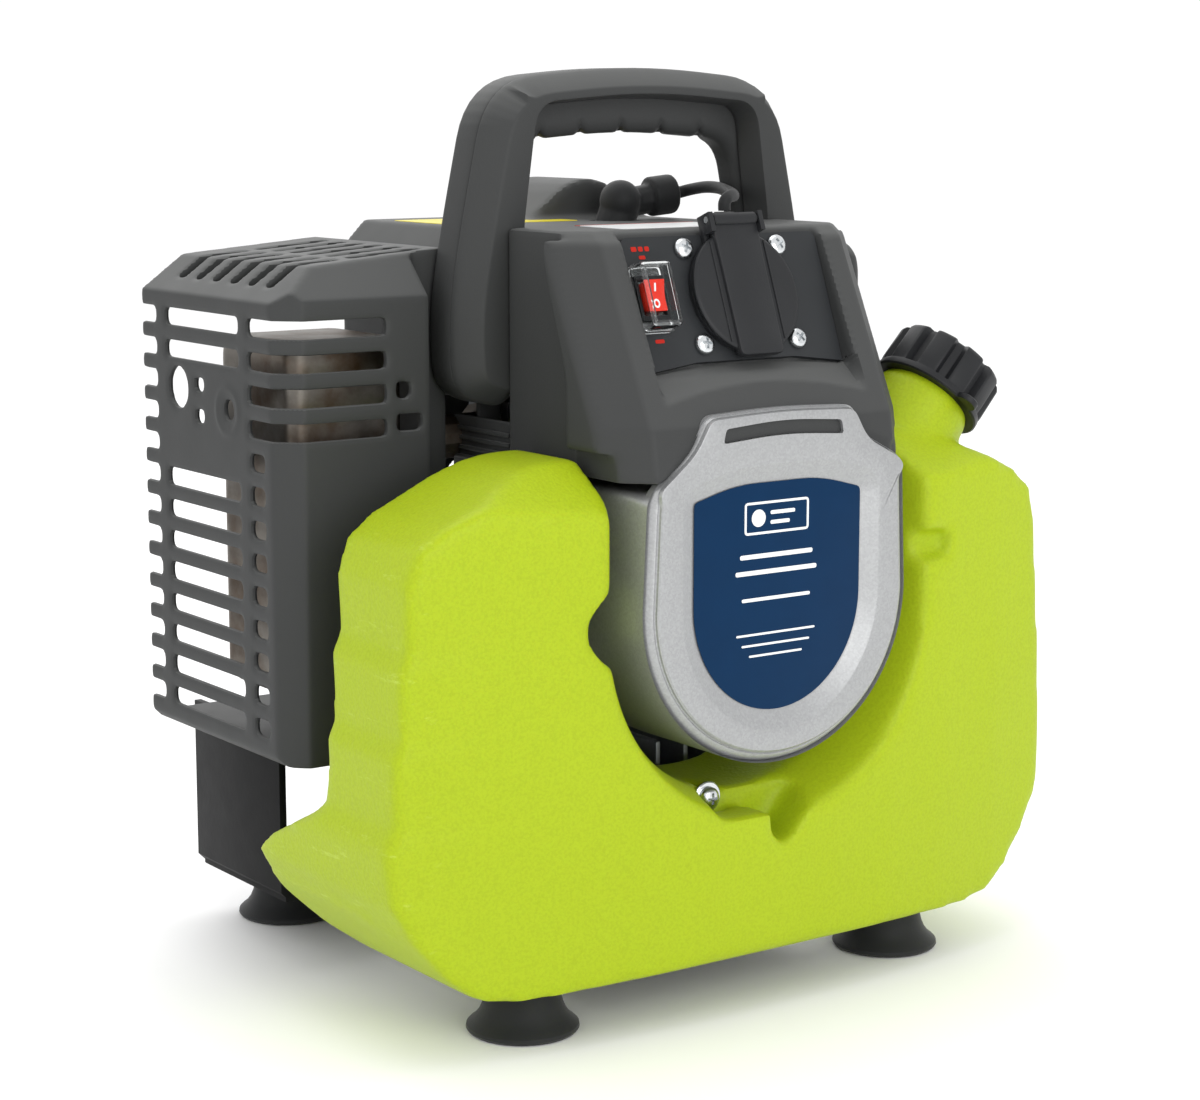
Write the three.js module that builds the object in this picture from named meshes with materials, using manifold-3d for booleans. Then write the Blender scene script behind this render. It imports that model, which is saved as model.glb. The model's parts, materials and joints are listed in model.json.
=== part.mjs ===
// A small petrol inverter generator with a carrying handle, as an assembly of separate pieces.
// Millimetres. +Z is up, the front (fan cover and control panel) faces -Y, the exhaust side is -X.
// Heights are counted from the floor, widths from the middle of the feet.

import * as THREE from "three";
import { mergeVertices } from "three/addons/utils/BufferGeometryUtils.js";
import Module from "manifold-3d";

const wasm = await Module();
wasm.setup();

// ---- Driving dimensions -------------------------------------------------------------------

const GAP = 0.35; // clearance between pieces that rest on each other
const RUN = 0.6; // clearance round a piece that moves
const ROUND = 20; // sides of a turned piece
const SMALL_ROUND = 10; // sides of a small turned piece
const WALL = 3; // wall of a moulded plastic shell
const SHEET = 3; // thickness of the steel base

// Feet and base
const FOOT_X = 88; // half the distance between the feet, left to right
const FOOT_Y = 88.5; // half the distance between the feet, front to back
const FOOT_RADIUS = 21;
const FOOT_NECK = 13;
const FOOT_HEIGHT = 22;
const BASE_BACK = 108; // rear edge of the base
const BRACKET_X = 120; // outer face of the bracket under the silencer guard
const BRACKET_FRONT = 36;
const BRACKET_TOP = 92;

// Fan cover
const COVER_X = 1.5;
const COVER_Z = 157; // centre of the round lower half
const COVER_RADIUS = 61.5;
const COVER_FACE = -127.5; // front face
const COVER_FACE_WALL = 3;
const COVER_BACK = -72;
const COVER_TOP = 203;
const TAB_HALF = 33;
const TAB_TOP = 228;
const LABEL_HALF = 39.5;
const LABEL_BOTTOM = 115;
const LABEL_TOP = 203;
const LABEL_DEPTH = 3.5; // how deep the label lies under the face
const LABEL_RIM = 6; // width of the slope round the label

// Fuel tank, a U round the fan cover
const TANK_BOTTOM = 21;
const TANK_FRONT = -125; // front face at the middle
const TANK_BACK = -58; // back face of the lobes
const TANK_WIDE = 157; // half width at its widest
const TANK_WIDE_Z = 60;
const TANK_FOOT_HALF = 124; // half width at the bottom
const TANK_SHOULDER = 146; // half width at the shoulder
const TANK_SHOULDER_Z = 187;
const TANK_TOP = 211;
const TANK_TOP_OUT = 94; // where the lobe tops begin to slope down
const TANK_BOW = 17; // how far the front face bows forward at the middle
const TANK_NOSE_BACK = -6; // rear end of the noses at the bottom corners
const TANK_NOSE_TOP = 88;
const TANK_WALL = 3.2;
const OPENING_X = 0.5;
const OPENING_Z = 150;
const OPENING_RADIUS = COVER_RADIUS + 6.5;
const SCOOP_X = 4;
const SCOOP_RADIUS = OPENING_RADIUS + 8; // the opening at the front face
const SCOOP_DEPTH = 22;
const TANK_SCREW_X = -15;
const TANK_SCREW_Z = COVER_Z - COVER_RADIUS - 15.5; // below the fan cover
const POCKET_RADIUS = 9;
const NOTCH_FLOOR = -104; // floor of the notches in the front face
const FINGER_NOTCH = { x: -65, z: 152, radius: 14 }; // finger hold at the opening's left edge
const GROOVE = { left: 70, right: 92, low: 163, high: 174, floor: -113 }; // strap groove in the right lobe
const DRAIN_NOTCH = [[-12, 82], [7, 62], [24, 82]]; // notch under the opening
const POCKET_FLOOR = -103; // floor of the pocket that the screw's washer rests on

// Filler neck and cap
const NECK_X = OPENING_X + OPENING_RADIUS + 43;
const NECK_AT = new THREE.Vector3(NECK_X, -80, 219.4); // middle of the neck's sealing shoulder
const NECK_TILT = THREE.MathUtils.degToRad(42.5); // leaning to +X
const NECK_RADIUS = 20.5;
const NECK_STUB = NECK_RADIUS - 2.9; // outer radius of the threaded stub
const NECK_STUB_LENGTH = 13;
const NECK_BORE = NECK_STUB - 3.6;
const NECK_LENGTH = 46; // from the shoulder down into the lobe
const CAP_RADIUS = NECK_RADIUS;
const CAP_FLANGE = CAP_RADIUS + 2.7;
const CAP_HEIGHT = 21;
const CAP_RIBS = 10;
const LINER = 2;

// Control housing
const HOUSING_HALF = 64; // half width of the flanks
const PILLAR_OUT = 70;
const PILLAR_IN = 46;
const PILLAR_BACK = -90; // where the pillars' outer sides step in to the flanks
const HOUSING_TOP = 291;
const HOUSING_BOTTOM = 204;
const HOUSING_BACK = -45;
const HOUSING_FRONT_TOP = -93;
const PANEL_LEAN = THREE.MathUtils.degToRad(21);
const PANEL_Y = -108; // panel's front at the height PANEL_Z
const PANEL_Z = 240;
const PANEL_PLATE = 2.6;
const PANEL_LOW = 5; // panel's lower edge at its middle, up the slope from PANEL_Z
const PANEL_ARCH = 4; // how far that edge drops at the sides
const PANEL_HIGH = 52;

// Socket, its lid and the switch, in the panel's own frame
const SOCKET_X = 3.7;
const SOCKET_UP = 28.8;
const SOCKET_RADIUS = 20;
const SOCKET_FLANGE = 23.4;
const SOCKET_DEPTH = 26;
const SOCKET_CAVITY = 17;
const LID_RADIUS = 23.6;
const LID_THICK = 2.2;
const LID_TAB = 10; // half width of the lid's strap
const HINGE_UP = 56;
const HINGE_HALF = 12.5;
const PIN_RADIUS = 1.3;
const SCREW_X = 21.8;
const SCREW_UP = 18.2;
const SCREW_HEAD = 4;
const SWITCH_X = -37.5;
const SWITCH_UP = 28.6;
const SWITCH_HALF = 5.3;
const SWITCH_TALL = 14;
const SWITCH_COVER_HALF = 7.6;
const SWITCH_COVER_TALL = 26;

// Handle
const HANDLE_X = 2;
const HANDLE_FRONT = -44;
const HANDLE_SEAM = -31;
const HANDLE_BACK = -16;
const HANDLE_TOP = 351;
const HANDLE_BOTTOM = 220;
const HANDLE_OUT = 84; // half width over the posts
const HANDLE_WAIST = 78; // half width at the housing's top
const HANDLE_SHOULDER = 66; // half width where the grip begins
const HAND_HALF = 50; // half width of the hand opening under the grip
const HAND_LOW_HALF = 55.5; // half width of the hand opening at the housing's top
const GRIP_FRONT_UNDER = HANDLE_TOP - 13; // underside of the front shell's grip
const GRIP_UNDER = HANDLE_TOP - 26; // underside of the rear shell's grip
const FINGER_PITCH = 19;

// Engine, its crankshaft along Y
const CRANK_X = 1.5;
const CRANK_Z = 150;
const THROW = 17;
const WEB_RADIUS = THROW + 9;
const WEB_IN = 6.5; // inner face of each web
const WEB_OUT = 16;
const JOURNAL = 8;
const CASE_HALF = 45; // half the crankcase's length
const CASE_RADIUS = 38;
const CASE_WIDTH = 58;
const BORE = 22.2;
const PISTON_GAP = 0.35;
const PISTON_REACH = 77; // from the crankshaft to the piston pin at top dead centre
const ROD_LENGTH = PISTON_REACH - THROW;
const PIN_BORE = 5; // radius of the piston pin
const CRANK_PIN = 6; // radius of the crank pin
const CYLINDER_Y = 0;
const CYLINDER_BASE = 189;
const CYLINDER_TOP = 258;
const CYLINDER_CORE = 28;
const CYLINDER_FOOT = 32; // radius of the foot flange
const FIN_RADIUS = 37;
const FINS = 4;
const PORT_Z = 209; // height of the exhaust and intake ports
const PORT_RADIUS = 8;
const PORT_HALF = 14; // half width of the port bosses
const EXHAUST_PORT = -44; // face of the exhaust port
const INTAKE_PORT = 46; // face of the intake port
const PLUG_LEAN = THREE.MathUtils.degToRad(21);
const PLUG_AT = new THREE.Vector3(18, 4, 284); // where the plug leaves the shroud

// Shroud over the engine
const SHROUD_LEFT = -71;
const SHROUD_RIGHT = 62;
const SHROUD_TOP = 290;
const SHROUD_BOTTOM = 208;
const SHROUD_BACK = 66;
const SHROUD_SLOPE = 10;
const BRIDGE_HALF = 53; // half width of the bridge between the handle's posts
const HUMP = { left: -14, right: 50, front: 20, back: 60, rise: 16 }; // swelling over the spark plug
const PORT_WINDOW = 18; // half length of the windows for the exhaust and the intake

// Silencer and its guard
const GUARD_LEFT = -152;
const GUARD_RIGHT = -73;
const GUARD_FRONT = -31;
const GUARD_BACK = 82;
const GUARD_BOTTOM = 94;
const GUARD_RIM = 265;
const GUARD_TOP = 278;
const GUARD_RISE = 5; // how much the roof rises towards the engine
const GUARD_CHAMFER = 9;
const SLOT_TOP = 259;
const SLOT_PITCH = 12.4;
const SLOT_TALL = 6.4;
const SLOT_ROWS = 13;
const BOSS_ROWS = [2, 3, 4]; // rows closed by the boss plate
const GUARD_STEP = -89.5; // where the guard steps back beside the handle
const CORNER_ROWS = 4; // rows that run round the front corner
const ROOF_SLOTS = 6;
const ROOF_PITCH = 14;
const ROOF_SLOT = 6; // width of a roof slot
const SILENCER = { left: -138, front: -12, back: 46, low: 114, high: 250 };
const SILENCER_WALL = 2;
const EXHAUST_OUTLET = new THREE.Vector3(-112, 0, 150);
const PIPE_BORE = 7;
const PIPE_RADIUS = 8.6;
const PIPE_LEFT = -96;

// Recoil starter
const RECOIL_RADIUS = 56;
const RECOIL_FRONT = 70;
const RECOIL_BACK = 104;
const PULLEY_RADIUS = 34;
const ROPE_RADIUS = 1.8;
const ROPE_TURN = 31; // radius at which the rope leaves the pulley
const POST_RADIUS = 7; // post that the pulley turns on
const GRIP_HALF = 24; // half width of the starter grip

// Fuel, air and inverter
const AIR = { front: -44, back: 36, low: 192, high: 281, thick: 24 }; // the air cleaner's cover
const CARB = { low: 196, high: 224, bowlX: 66, bowlLow: 182, bowlRadius: 11 };
const HOSE_RADIUS = 2.6;
const LEAD_RADIUS = 2.4;
const INVERTER = { left: -43.5, right: 44.5, front: -52, back: 66, top: 72, finTop: 90 };
const COIL = { left: -16, right: 18, front: -70, back: -52, low: 206, high: 226 };

// ---- Places that follow from the sizes above --------------------------------------------

const BASE_LOW = FOOT_HEIGHT + GAP;
const BASE_TOP = BASE_LOW + SHEET;
const STRAP_HALF = FOOT_X + 16;
const STRAP_FRONT = -FOOT_Y - 15;
const STRAP_REAR = -FOOT_Y + 17;

const CAP_INNER = NECK_STUB + RUN;
const CAP_FOOT = GAP;
const LINER_LOW = NECK_STUB_LENGTH + GAP;

const FLANGE_FRONT = -GAP - 2;
const LID_BACK = FLANGE_FRONT - GAP;
const HINGE_OUT = LID_BACK - 2.6;

const CRANK_AT = [CRANK_X, 0, CRANK_Z];
const TOP_PIN = CRANK_Z + THROW; // height of the crank pin at top dead centre
const GUDGEON_Z = TOP_PIN + ROD_LENGTH;
const PISTON_RADIUS = BORE - PISTON_GAP;
const PISTON_LOW = GUDGEON_Z - 11;
const PISTON_HIGH = GUDGEON_Z + 13;

const STATOR_BACK = -CASE_HALF - GAP;
const ROTOR_BACK = -48;
const ROTOR_PLATE = -74;
const FAN_BACK = ROTOR_PLATE - 3 - GAP;
const FAN_FRONT = FAN_BACK - 16;
const FLYWHEEL_NOSE = FAN_FRONT - 4;
const ROTOR_RADIUS = 45;

const STARTER_CUP_FRONT = CASE_HALF + 5;
const STARTER_CUP_BACK = RECOIL_FRONT + 4;
const PULLEY_FRONT = STARTER_CUP_BACK + 1.5;
const PULLEY_BACK = PULLEY_FRONT + 11;
const SPRING_BACK = RECOIL_BACK - WALL - GAP;
const ROPE_X = CRANK_X + ROPE_TURN;
const ROPE_Y = (PULLEY_FRONT + PULLEY_BACK) / 2;
const PULL_Z = CRANK_Z + RECOIL_RADIUS + 8;

// The guard's upright ribs, front to back, and the front edge of its lower windows.
const RIB_BACK = [62, 70];
const RIB_FRONT = [-4, 3];
const WINDOW_FRONT = -16;

const EXHAUST_LEFT = -86;

const INTAKE_X = INTAKE_PORT + GAP;
const CARB_X = 54;
const AIR_X = 87.5;

const CHOKE_AT = new THREE.Vector3(CARB.bowlX, PORT_HALF + GAP, CARB.high - 6);

const GROMMET_AT = new THREE.Vector3(27, -58, HOUSING_TOP);
const GROMMET_NECK = 4;
const BOOT_END = new THREE.Vector3(46, 0, 300);

// The route of the ignition lead from the boot to the grommet in the housing's top.
const LEAD_ROUTE = [
  [46.6, -0.1, 300.1], [49, -0.6, 300.5], [51.6, -4, 301.6], [52, -13, 302.8], [51.4, -22, 302.8],
  [49, -31, 301.8], [45, -40, 300.8], [39, -48, 300.6], [33, -54.5, 301], [28.5, -57.6, 300.2],
  [27, -58, 298.4], [27, -58, 295.6],
];

const FRONT_MOST = COVER_FACE;
const BACK_MOST = FOOT_Y + FOOT_RADIUS;

// ---- Colours ------------------------------------------------------------------------------

const finish = (color, roughness, metalness = 0) => ({ color, roughness, metalness });
const LIME = finish(0xb6d02c, 0.55);
const DARK_PLASTIC = finish(0x4b4c4c, 0.6);
const BLACK_PLASTIC = finish(0x1d1e20, 0.5);
const RUBBER = finish(0x202122, 0.85);
const SILVER_PAINT = finish(0xc4c5c6, 0.35, 0.3);
const BLUE_LABEL = finish(0x0b3b66, 0.35);
const STEEL = finish(0xb5b8ba, 0.35, 1);
const BLACK_STEEL = finish(0x141414, 0.45, 0.4);
const CAST_ALLOY = finish(0xa7aaad, 0.5, 0.9);
const COPPER = finish(0xb0713c, 0.4, 0.9);
const RED = finish(0xe2341f, 0.35);
const CLEAR = finish(0xd8dcdc, 0.1);
const FOAM = finish(0x3d3f3c, 0.95);
const CERAMIC = finish(0xeeeeea, 0.3);
const BRASS = finish(0xb8923c, 0.35, 1);

// ---- Tools for shapes ---------------------------------------------------------------------

// A closed solid from any closed geometry.
function solid(geometry) {
  const bare = geometry.clone();
  bare.deleteAttribute("normal");
  bare.deleteAttribute("uv");
  const merged = mergeVertices(bare, 1e-4);
  const index = merged.index.array;
  const triangles = [];
  for (let i = 0; i < index.length; i += 3) {
    const [a, b, c] = [index[i], index[i + 1], index[i + 2]];
    if (a !== b && b !== c && c !== a) triangles.push(a, b, c);
  }
  return new wasm.Manifold(new wasm.Mesh({
    numProp: 3,
    vertProperties: new Float32Array(merged.attributes.position.array),
    triVerts: new Uint32Array(triangles),
  }));
}

const unite = (...pieces) => pieces.reduce((whole, piece) => whole.add(piece));
const cut = (body, ...tools) => tools.reduce((rest, tool) => rest.subtract(tool), body);

// Two places on an axis, the lower one first.
const order = (a, b) => [Math.min(a, b), Math.max(a, b)];

// A box between two corners.
function box(x0, x1, y0, y1, z0, z1) {
  const geometry = new THREE.BoxGeometry(x1 - x0, y1 - y0, z1 - z0);
  geometry.translate((x0 + x1) / 2, (y0 + y1) / 2, (z0 + z1) / 2);
  return solid(geometry);
}

// An outline of [u, v, rounding] corners; a corner is rounded over that length on each side.
function outline(corners) {
  const shape = new THREE.Shape();
  const count = corners.length;
  corners.forEach(([u, v, rounding = 0], i) => {
    const here = new THREE.Vector2(u, v);
    const before = new THREE.Vector2(...corners[(i + count - 1) % count].slice(0, 2));
    const after = new THREE.Vector2(...corners[(i + 1) % count].slice(0, 2));
    const start = here.clone().add(before.sub(here).setLength(rounding));
    const end = here.clone().add(after.sub(here).setLength(rounding));
    if (i === 0) shape.moveTo(start.x, start.y);
    else shape.lineTo(start.x, start.y);
    if (rounding > 0) shape.quadraticCurveTo(u, v, end.x, end.y);
  });
  return shape;
}

// The frames in which an outline stands for a prism along each axis.
const AXES = {
  x: [new THREE.Vector3(0, 1, 0), new THREE.Vector3(0, 0, 1), new THREE.Vector3(1, 0, 0)],
  y: [new THREE.Vector3(1, 0, 0), new THREE.Vector3(0, 0, 1), new THREE.Vector3(0, -1, 0)],
  z: [new THREE.Vector3(1, 0, 0), new THREE.Vector3(0, 1, 0), new THREE.Vector3(0, 0, 1)],
};

// A prism of an outline between two places on an axis, with an optional chamfer at both ends.
function prism(axis, shape, from, to, { chamfer = 0, inset = chamfer, steps = 3 } = {}) {
  const geometry = new THREE.ExtrudeGeometry(shape, {
    depth: to - from - 2 * chamfer,
    curveSegments: steps,
    bevelEnabled: chamfer > 0,
    bevelThickness: chamfer,
    bevelSize: inset,
    bevelOffset: -inset,
    bevelSegments: 1,
  });
  const frame = new THREE.Matrix4().makeBasis(...AXES[axis]);
  const start = axis === "y" ? -(to - chamfer) : from + chamfer;
  geometry.translate(0, 0, start);
  geometry.applyMatrix4(frame);
  return solid(geometry);
}

// A piece turned about an axis from [radius, place] points; a tube's profile closes on itself.
function turned(axis, profile, at = [0, 0, 0], sides = ROUND) {
  const closed = profile[0][0] > 0;
  const points = profile.map(([radius, place]) => new THREE.Vector2(radius, place));
  if (closed) points.push(points[0].clone());
  const geometry = new THREE.LatheGeometry(points, sides);
  if (axis === "z") geometry.rotateX(Math.PI / 2);
  if (axis === "x") geometry.rotateZ(-Math.PI / 2);
  geometry.translate(...at);
  return solid(geometry);
}

// A plain round bar along an axis.
function bar(axis, radius, from, to, at = [0, 0, 0], sides = ROUND) {
  return turned(axis, [[0, from], [radius, from], [radius, to], [0, to]], at, sides);
}

// The same solid moved by a matrix.
function moved(piece, matrix) {
  return solid(geometryOf(piece).applyMatrix4(matrix));
}

function geometryOf(piece) {
  const { vertProperties, triVerts } = piece.getMesh();
  const geometry = new THREE.BufferGeometry();
  geometry.setAttribute("position", new THREE.BufferAttribute(vertProperties, 3));
  geometry.setIndex(new THREE.BufferAttribute(triVerts, 1));
  return geometry;
}

// A named mesh of the finished solid.
function node(name, piece, look) {
  const geometry = geometryOf(piece);
  geometry.computeVertexNormals();
  const mesh = new THREE.Mesh(geometry, new THREE.MeshStandardMaterial(look));
  mesh.name = name;
  return mesh;
}

const generator = new THREE.Group();
const panel = new THREE.Group(); // leans with the control panel
const filler = new THREE.Group(); // leans with the filler neck
panel.position.set(0, PANEL_Y, PANEL_Z);
panel.rotation.x = -PANEL_LEAN;
filler.position.copy(NECK_AT);
filler.rotation.y = NECK_TILT;
for (const group of [panel, filler]) {
  group.updateMatrix();
  generator.add(group);
}

// ---- Base and feet ------------------------------------------------------------------------

function foot() {
  const lip = 3;
  return turned("z", [
    [0, 0], [FOOT_RADIUS, 0], [FOOT_RADIUS, lip], [FOOT_NECK + 3, FOOT_HEIGHT * 0.42],
    [FOOT_NECK, FOOT_HEIGHT * 0.7], [FOOT_NECK, FOOT_HEIGHT], [0, FOOT_HEIGHT],
  ]);
}

function addFeet() {
  const sides = { left: -1, right: 1 };
  const ends = { front: -1, rear: 1 };
  for (const [end, alongY] of Object.entries(ends)) {
    for (const [side, alongX] of Object.entries(sides)) {
      const mesh = node(`foot_${end}_${side}`, foot(), RUBBER);
      mesh.position.set(alongX * FOOT_X, alongY * FOOT_Y, 0);
      generator.add(mesh);
    }
  }
}

function baseFrame() {
  const spine = CASE_WIDTH - 2;
  const bend = 4;
  const inner = BRACKET_X - SHEET;
  const rearFront = BRACKET_FRONT + 4;
  const plan = outline([
    [-STRAP_HALF, STRAP_FRONT, 6], [STRAP_HALF, STRAP_FRONT, 6], [STRAP_HALF, STRAP_REAR],
    [spine, STRAP_REAR], [spine, rearFront], [STRAP_HALF, rearFront + 14, 5],
    [STRAP_HALF, BASE_BACK, 8], [-inner - 1, BASE_BACK, 3], [-inner - 1, BRACKET_FRONT],
    [-spine, BRACKET_FRONT], [-spine, STRAP_REAR], [-STRAP_HALF, STRAP_REAR],
  ]);
  const bracket = prism("y", outline([
    [-inner + bend, BASE_LOW], [-inner + bend, BASE_TOP], [-inner, BASE_TOP + bend],
    [-inner, BRACKET_TOP], [-BRACKET_X, BRACKET_TOP], [-BRACKET_X, BASE_LOW + bend, 0],
    [-BRACKET_X + bend, BASE_LOW],
  ]), BRACKET_FRONT, BASE_BACK);
  return unite(prism("z", plan, BASE_LOW, BASE_TOP), bracket);
}

// ---- Fuel tank ----------------------------------------------------------------------------

// The U-shaped opening for the fan cover, round below and open above.
function openingShape(x, radius) {
  const shape = new THREE.Shape();
  const above = TANK_TOP + 30;
  shape.moveTo(x - radius, above);
  shape.lineTo(x - radius, OPENING_Z);
  shape.absarc(x, OPENING_Z, radius, Math.PI, 2 * Math.PI, false);
  shape.lineTo(x + radius, above);
  return shape;
}

// The tank's outer form, or with a wall the space inside it.
function tankForm(wall) {
  const bottom = TANK_BOTTOM + wall;
  const top = TANK_TOP - wall;
  const back = TANK_BACK - wall;
  const front = outline([
    [-TANK_FOOT_HALF + wall, bottom, 14], [TANK_FOOT_HALF - wall, bottom, 14],
    [TANK_WIDE - wall, TANK_WIDE_Z, 18], [TANK_SHOULDER - wall, TANK_SHOULDER_Z - wall, 14],
    [TANK_TOP_OUT, top, 14], [-TANK_TOP_OUT, top, 14],
    [-TANK_SHOULDER + wall, TANK_SHOULDER_Z - wall, 14], [-TANK_WIDE + wall, TANK_WIDE_Z, 18],
  ]);
  const edge = TANK_FRONT + TANK_BOW + wall;
  const side = outline([
    [TANK_FRONT + wall, bottom, 6], [TANK_BACK + 20, bottom, 6],
    [TANK_NOSE_BACK - wall, bottom + 20, 10], [TANK_NOSE_BACK - wall, bottom + 42, 12],
    [back, TANK_NOSE_TOP - wall, 10], [back, top + 6], [TANK_FRONT + 34, top + 4],
    [TANK_FRONT + wall, top - 20, 8],
  ]);
  const plan = new THREE.Shape();
  const far = TANK_NOSE_BACK + 10;
  plan.moveTo(-TANK_WIDE - 5, far);
  plan.lineTo(-TANK_WIDE - 5, edge + 8);
  plan.lineTo(-TANK_WIDE + 5, edge);
  plan.quadraticCurveTo(0, TANK_FRONT - TANK_BOW + wall, TANK_WIDE - 5, edge);
  plan.lineTo(TANK_WIDE + 5, edge + 8);
  plan.lineTo(TANK_WIDE + 5, far);
  const body = prism("y", front, TANK_FRONT - 5, far, { steps: 2 })
    .intersect(prism("x", side, -TANK_WIDE - 5, TANK_WIDE + 5, { steps: 2 }))
    .intersect(prism("z", plan, 0, TANK_TOP + 10, { steps: 10 }));
  const through = prism("y", openingShape(OPENING_X, OPENING_RADIUS + wall),
    TANK_FRONT - 20, far + 20, { steps: 16 });
  // Between the noses the tank ends at its back face, so that the engine stands on the base.
  const behind = box(-TANK_FOOT_HALF + 10 - wall, TANK_FOOT_HALF - 10 + wall, back, far + 20, 0, TANK_TOP);
  return cut(body, through, behind);
}

function fuelTank() {
  const scoop = prism("y", openingShape(SCOOP_X, SCOOP_RADIUS),
    TANK_FRONT - 60, TANK_FRONT + SCOOP_DEPTH + 2, { chamfer: SCOOP_DEPTH, inset: 9, steps: 16 });
  const fingerNotch = bar("y", FINGER_NOTCH.radius, TANK_FRONT - 10, NOTCH_FLOOR,
    [FINGER_NOTCH.x, 0, FINGER_NOTCH.z], SMALL_ROUND);
  const groove = box(GROOVE.left, GROOVE.right, TANK_FRONT - 5, GROOVE.floor, GROOVE.low, GROOVE.high);
  const drainNotch = prism("y", outline(DRAIN_NOTCH), TANK_FRONT - 5, NOTCH_FLOOR);
  const screwPocket = bar("y", POCKET_RADIUS, TANK_FRONT - 5, POCKET_FLOOR,
    [TANK_SCREW_X, 0, TANK_SCREW_Z]);
  const screwHole = bar("y", 3, POCKET_FLOOR - 1, POCKET_FLOOR + 14,
    [TANK_SCREW_X, 0, TANK_SCREW_Z], SMALL_ROUND);
  const channel = box(-STRAP_HALF - 1, STRAP_HALF + 1, STRAP_FRONT - 1, 40, 0, BASE_TOP + 0.6);
  const neckOut = bar("z", NECK_RADIUS, -NECK_LENGTH, 0);
  const stub = bar("z", NECK_STUB, -2, NECK_STUB_LENGTH);
  const neckBore = bar("z", NECK_BORE, -NECK_LENGTH - 14, NECK_STUB_LENGTH + 2);
  const neck = moved(unite(neckOut, stub), filler.matrix);
  const hollow = cut(tankForm(TANK_WALL),
    box(-TANK_WIDE, TANK_WIDE, TANK_FRONT, TANK_FRONT + SCOOP_DEPTH + 5, 44, TANK_TOP),
    box(-STRAP_HALF - 5, STRAP_HALF + 5, TANK_FRONT, 40, 0, BASE_TOP + TANK_WALL + 1));
  const outer = cut(tankForm(0), scoop, fingerNotch, groove, drainNotch, screwPocket, screwHole, channel);
  return cut(unite(outer, neck), hollow, moved(neckBore, filler.matrix));
}

function tankScrew() {
  const head = [[0, -9], [3.2, -9], [4.6, -7.5], [4.6, -5], [7, -4.6], [7, -3.4], [2.6, -3.4]];
  const shank = [[2.6, 6], [0, 6]];
  return turned("y", [...head, ...shank].map(([r, y]) => [r, y + POCKET_FLOOR + 3]),
    [TANK_SCREW_X, 0, TANK_SCREW_Z], SMALL_ROUND);
}

// ---- Filler cap ---------------------------------------------------------------------------

function fuelCap() {
  const inside = LINER_LOW + LINER + GAP;
  const shell = turned("z", [
    [0, inside], [CAP_INNER, inside], [CAP_INNER, CAP_FOOT], [CAP_FLANGE, CAP_FOOT],
    [CAP_FLANGE, CAP_FOOT + 3], [CAP_RADIUS, CAP_FOOT + 4], [CAP_RADIUS, CAP_HEIGHT - 2],
    [CAP_RADIUS - 2, CAP_HEIGHT], [0, CAP_HEIGHT],
  ]);
  const ribs = Array.from({ length: CAP_RIBS }, (_, i) => {
    const rib = box(CAP_RADIUS - 2, CAP_FLANGE, -2, 2, CAP_FOOT + 2, CAP_HEIGHT - 0.5);
    return moved(rib, new THREE.Matrix4().makeRotationZ((i * 2 * Math.PI) / CAP_RIBS));
  });
  const lug = cut(box(-4, 4, -CAP_FLANGE - 5, -CAP_FLANGE + 3, CAP_FOOT, CAP_FOOT + 3),
    bar("z", 1.6, -1, 6, [0, -CAP_FLANGE - 2, 0], 8));
  return unite(shell, ...ribs, lug);
}

function capLiner() {
  return bar("z", NECK_STUB - 0.4, LINER_LOW, LINER_LOW + LINER);
}

// ---- Fan cover ----------------------------------------------------------------------------

// The shield outline: round below, straight sides, and a flat or tabbed top.
function shield(half, bottomZ, topCorners) {
  const shape = new THREE.Shape();
  shape.moveTo(COVER_X - half, topCorners[0][1]);
  shape.absellipse(COVER_X, COVER_Z, half, COVER_Z - bottomZ, Math.PI, 2 * Math.PI, false);
  for (const [x, z] of [...topCorners].reverse()) shape.lineTo(COVER_X + x, z);
  return shape;
}

function coverTop(grow) {
  return [
    [-COVER_RADIUS - grow + 3, COVER_TOP - 3 + grow], [-TAB_HALF - 7, COVER_TOP + 13 + grow],
    [-TAB_HALF - grow, TAB_TOP + grow], [TAB_HALF + grow, TAB_TOP + grow],
    [TAB_HALF + 8, COVER_TOP + 13 + grow], [COVER_RADIUS + grow - 3, COVER_TOP + 7 + grow],
  ];
}

function fanCover() {
  const half = COVER_RADIUS;
  const bottom = COVER_Z - half;
  const flatTop = [[-half, COVER_TOP - 3], [half, COVER_TOP - 3]];
  const inner = half - 2.5;
  const innerTop = [[-inner, COVER_TOP - 6], [inner, COVER_TOP - 6]];
  const faceBack = COVER_FACE + COVER_FACE_WALL;
  const face = prism("y", shield(half, bottom, coverTop(0)), COVER_FACE, faceBack, { steps: 14 });
  const cup = prism("y", shield(half, bottom, flatTop), faceBack - 0.5, COVER_BACK, { steps: 14 });
  const hollow = prism("y", shield(inner, COVER_Z - inner, innerTop), faceBack + LABEL_DEPTH,
    COVER_BACK + 5, { steps: 14 });
  const labelTop = [
    [-LABEL_HALF, LABEL_TOP - 7], [-LABEL_HALF / 2, LABEL_TOP - 1], [LABEL_HALF / 2, LABEL_TOP - 1],
    [LABEL_HALF, LABEL_TOP - 7],
  ].map(([x, z]) => [x * (1 + LABEL_RIM / LABEL_HALF), z + LABEL_RIM]);
  const recess = prism("y", shield(LABEL_HALF + LABEL_RIM, LABEL_BOTTOM - LABEL_RIM, labelTop),
    COVER_FACE - 8, COVER_FACE + LABEL_DEPTH, { chamfer: LABEL_DEPTH, inset: LABEL_RIM, steps: 12 });
  return cut(unite(face, cup), hollow, recess, ventSlot(0));
}

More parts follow.
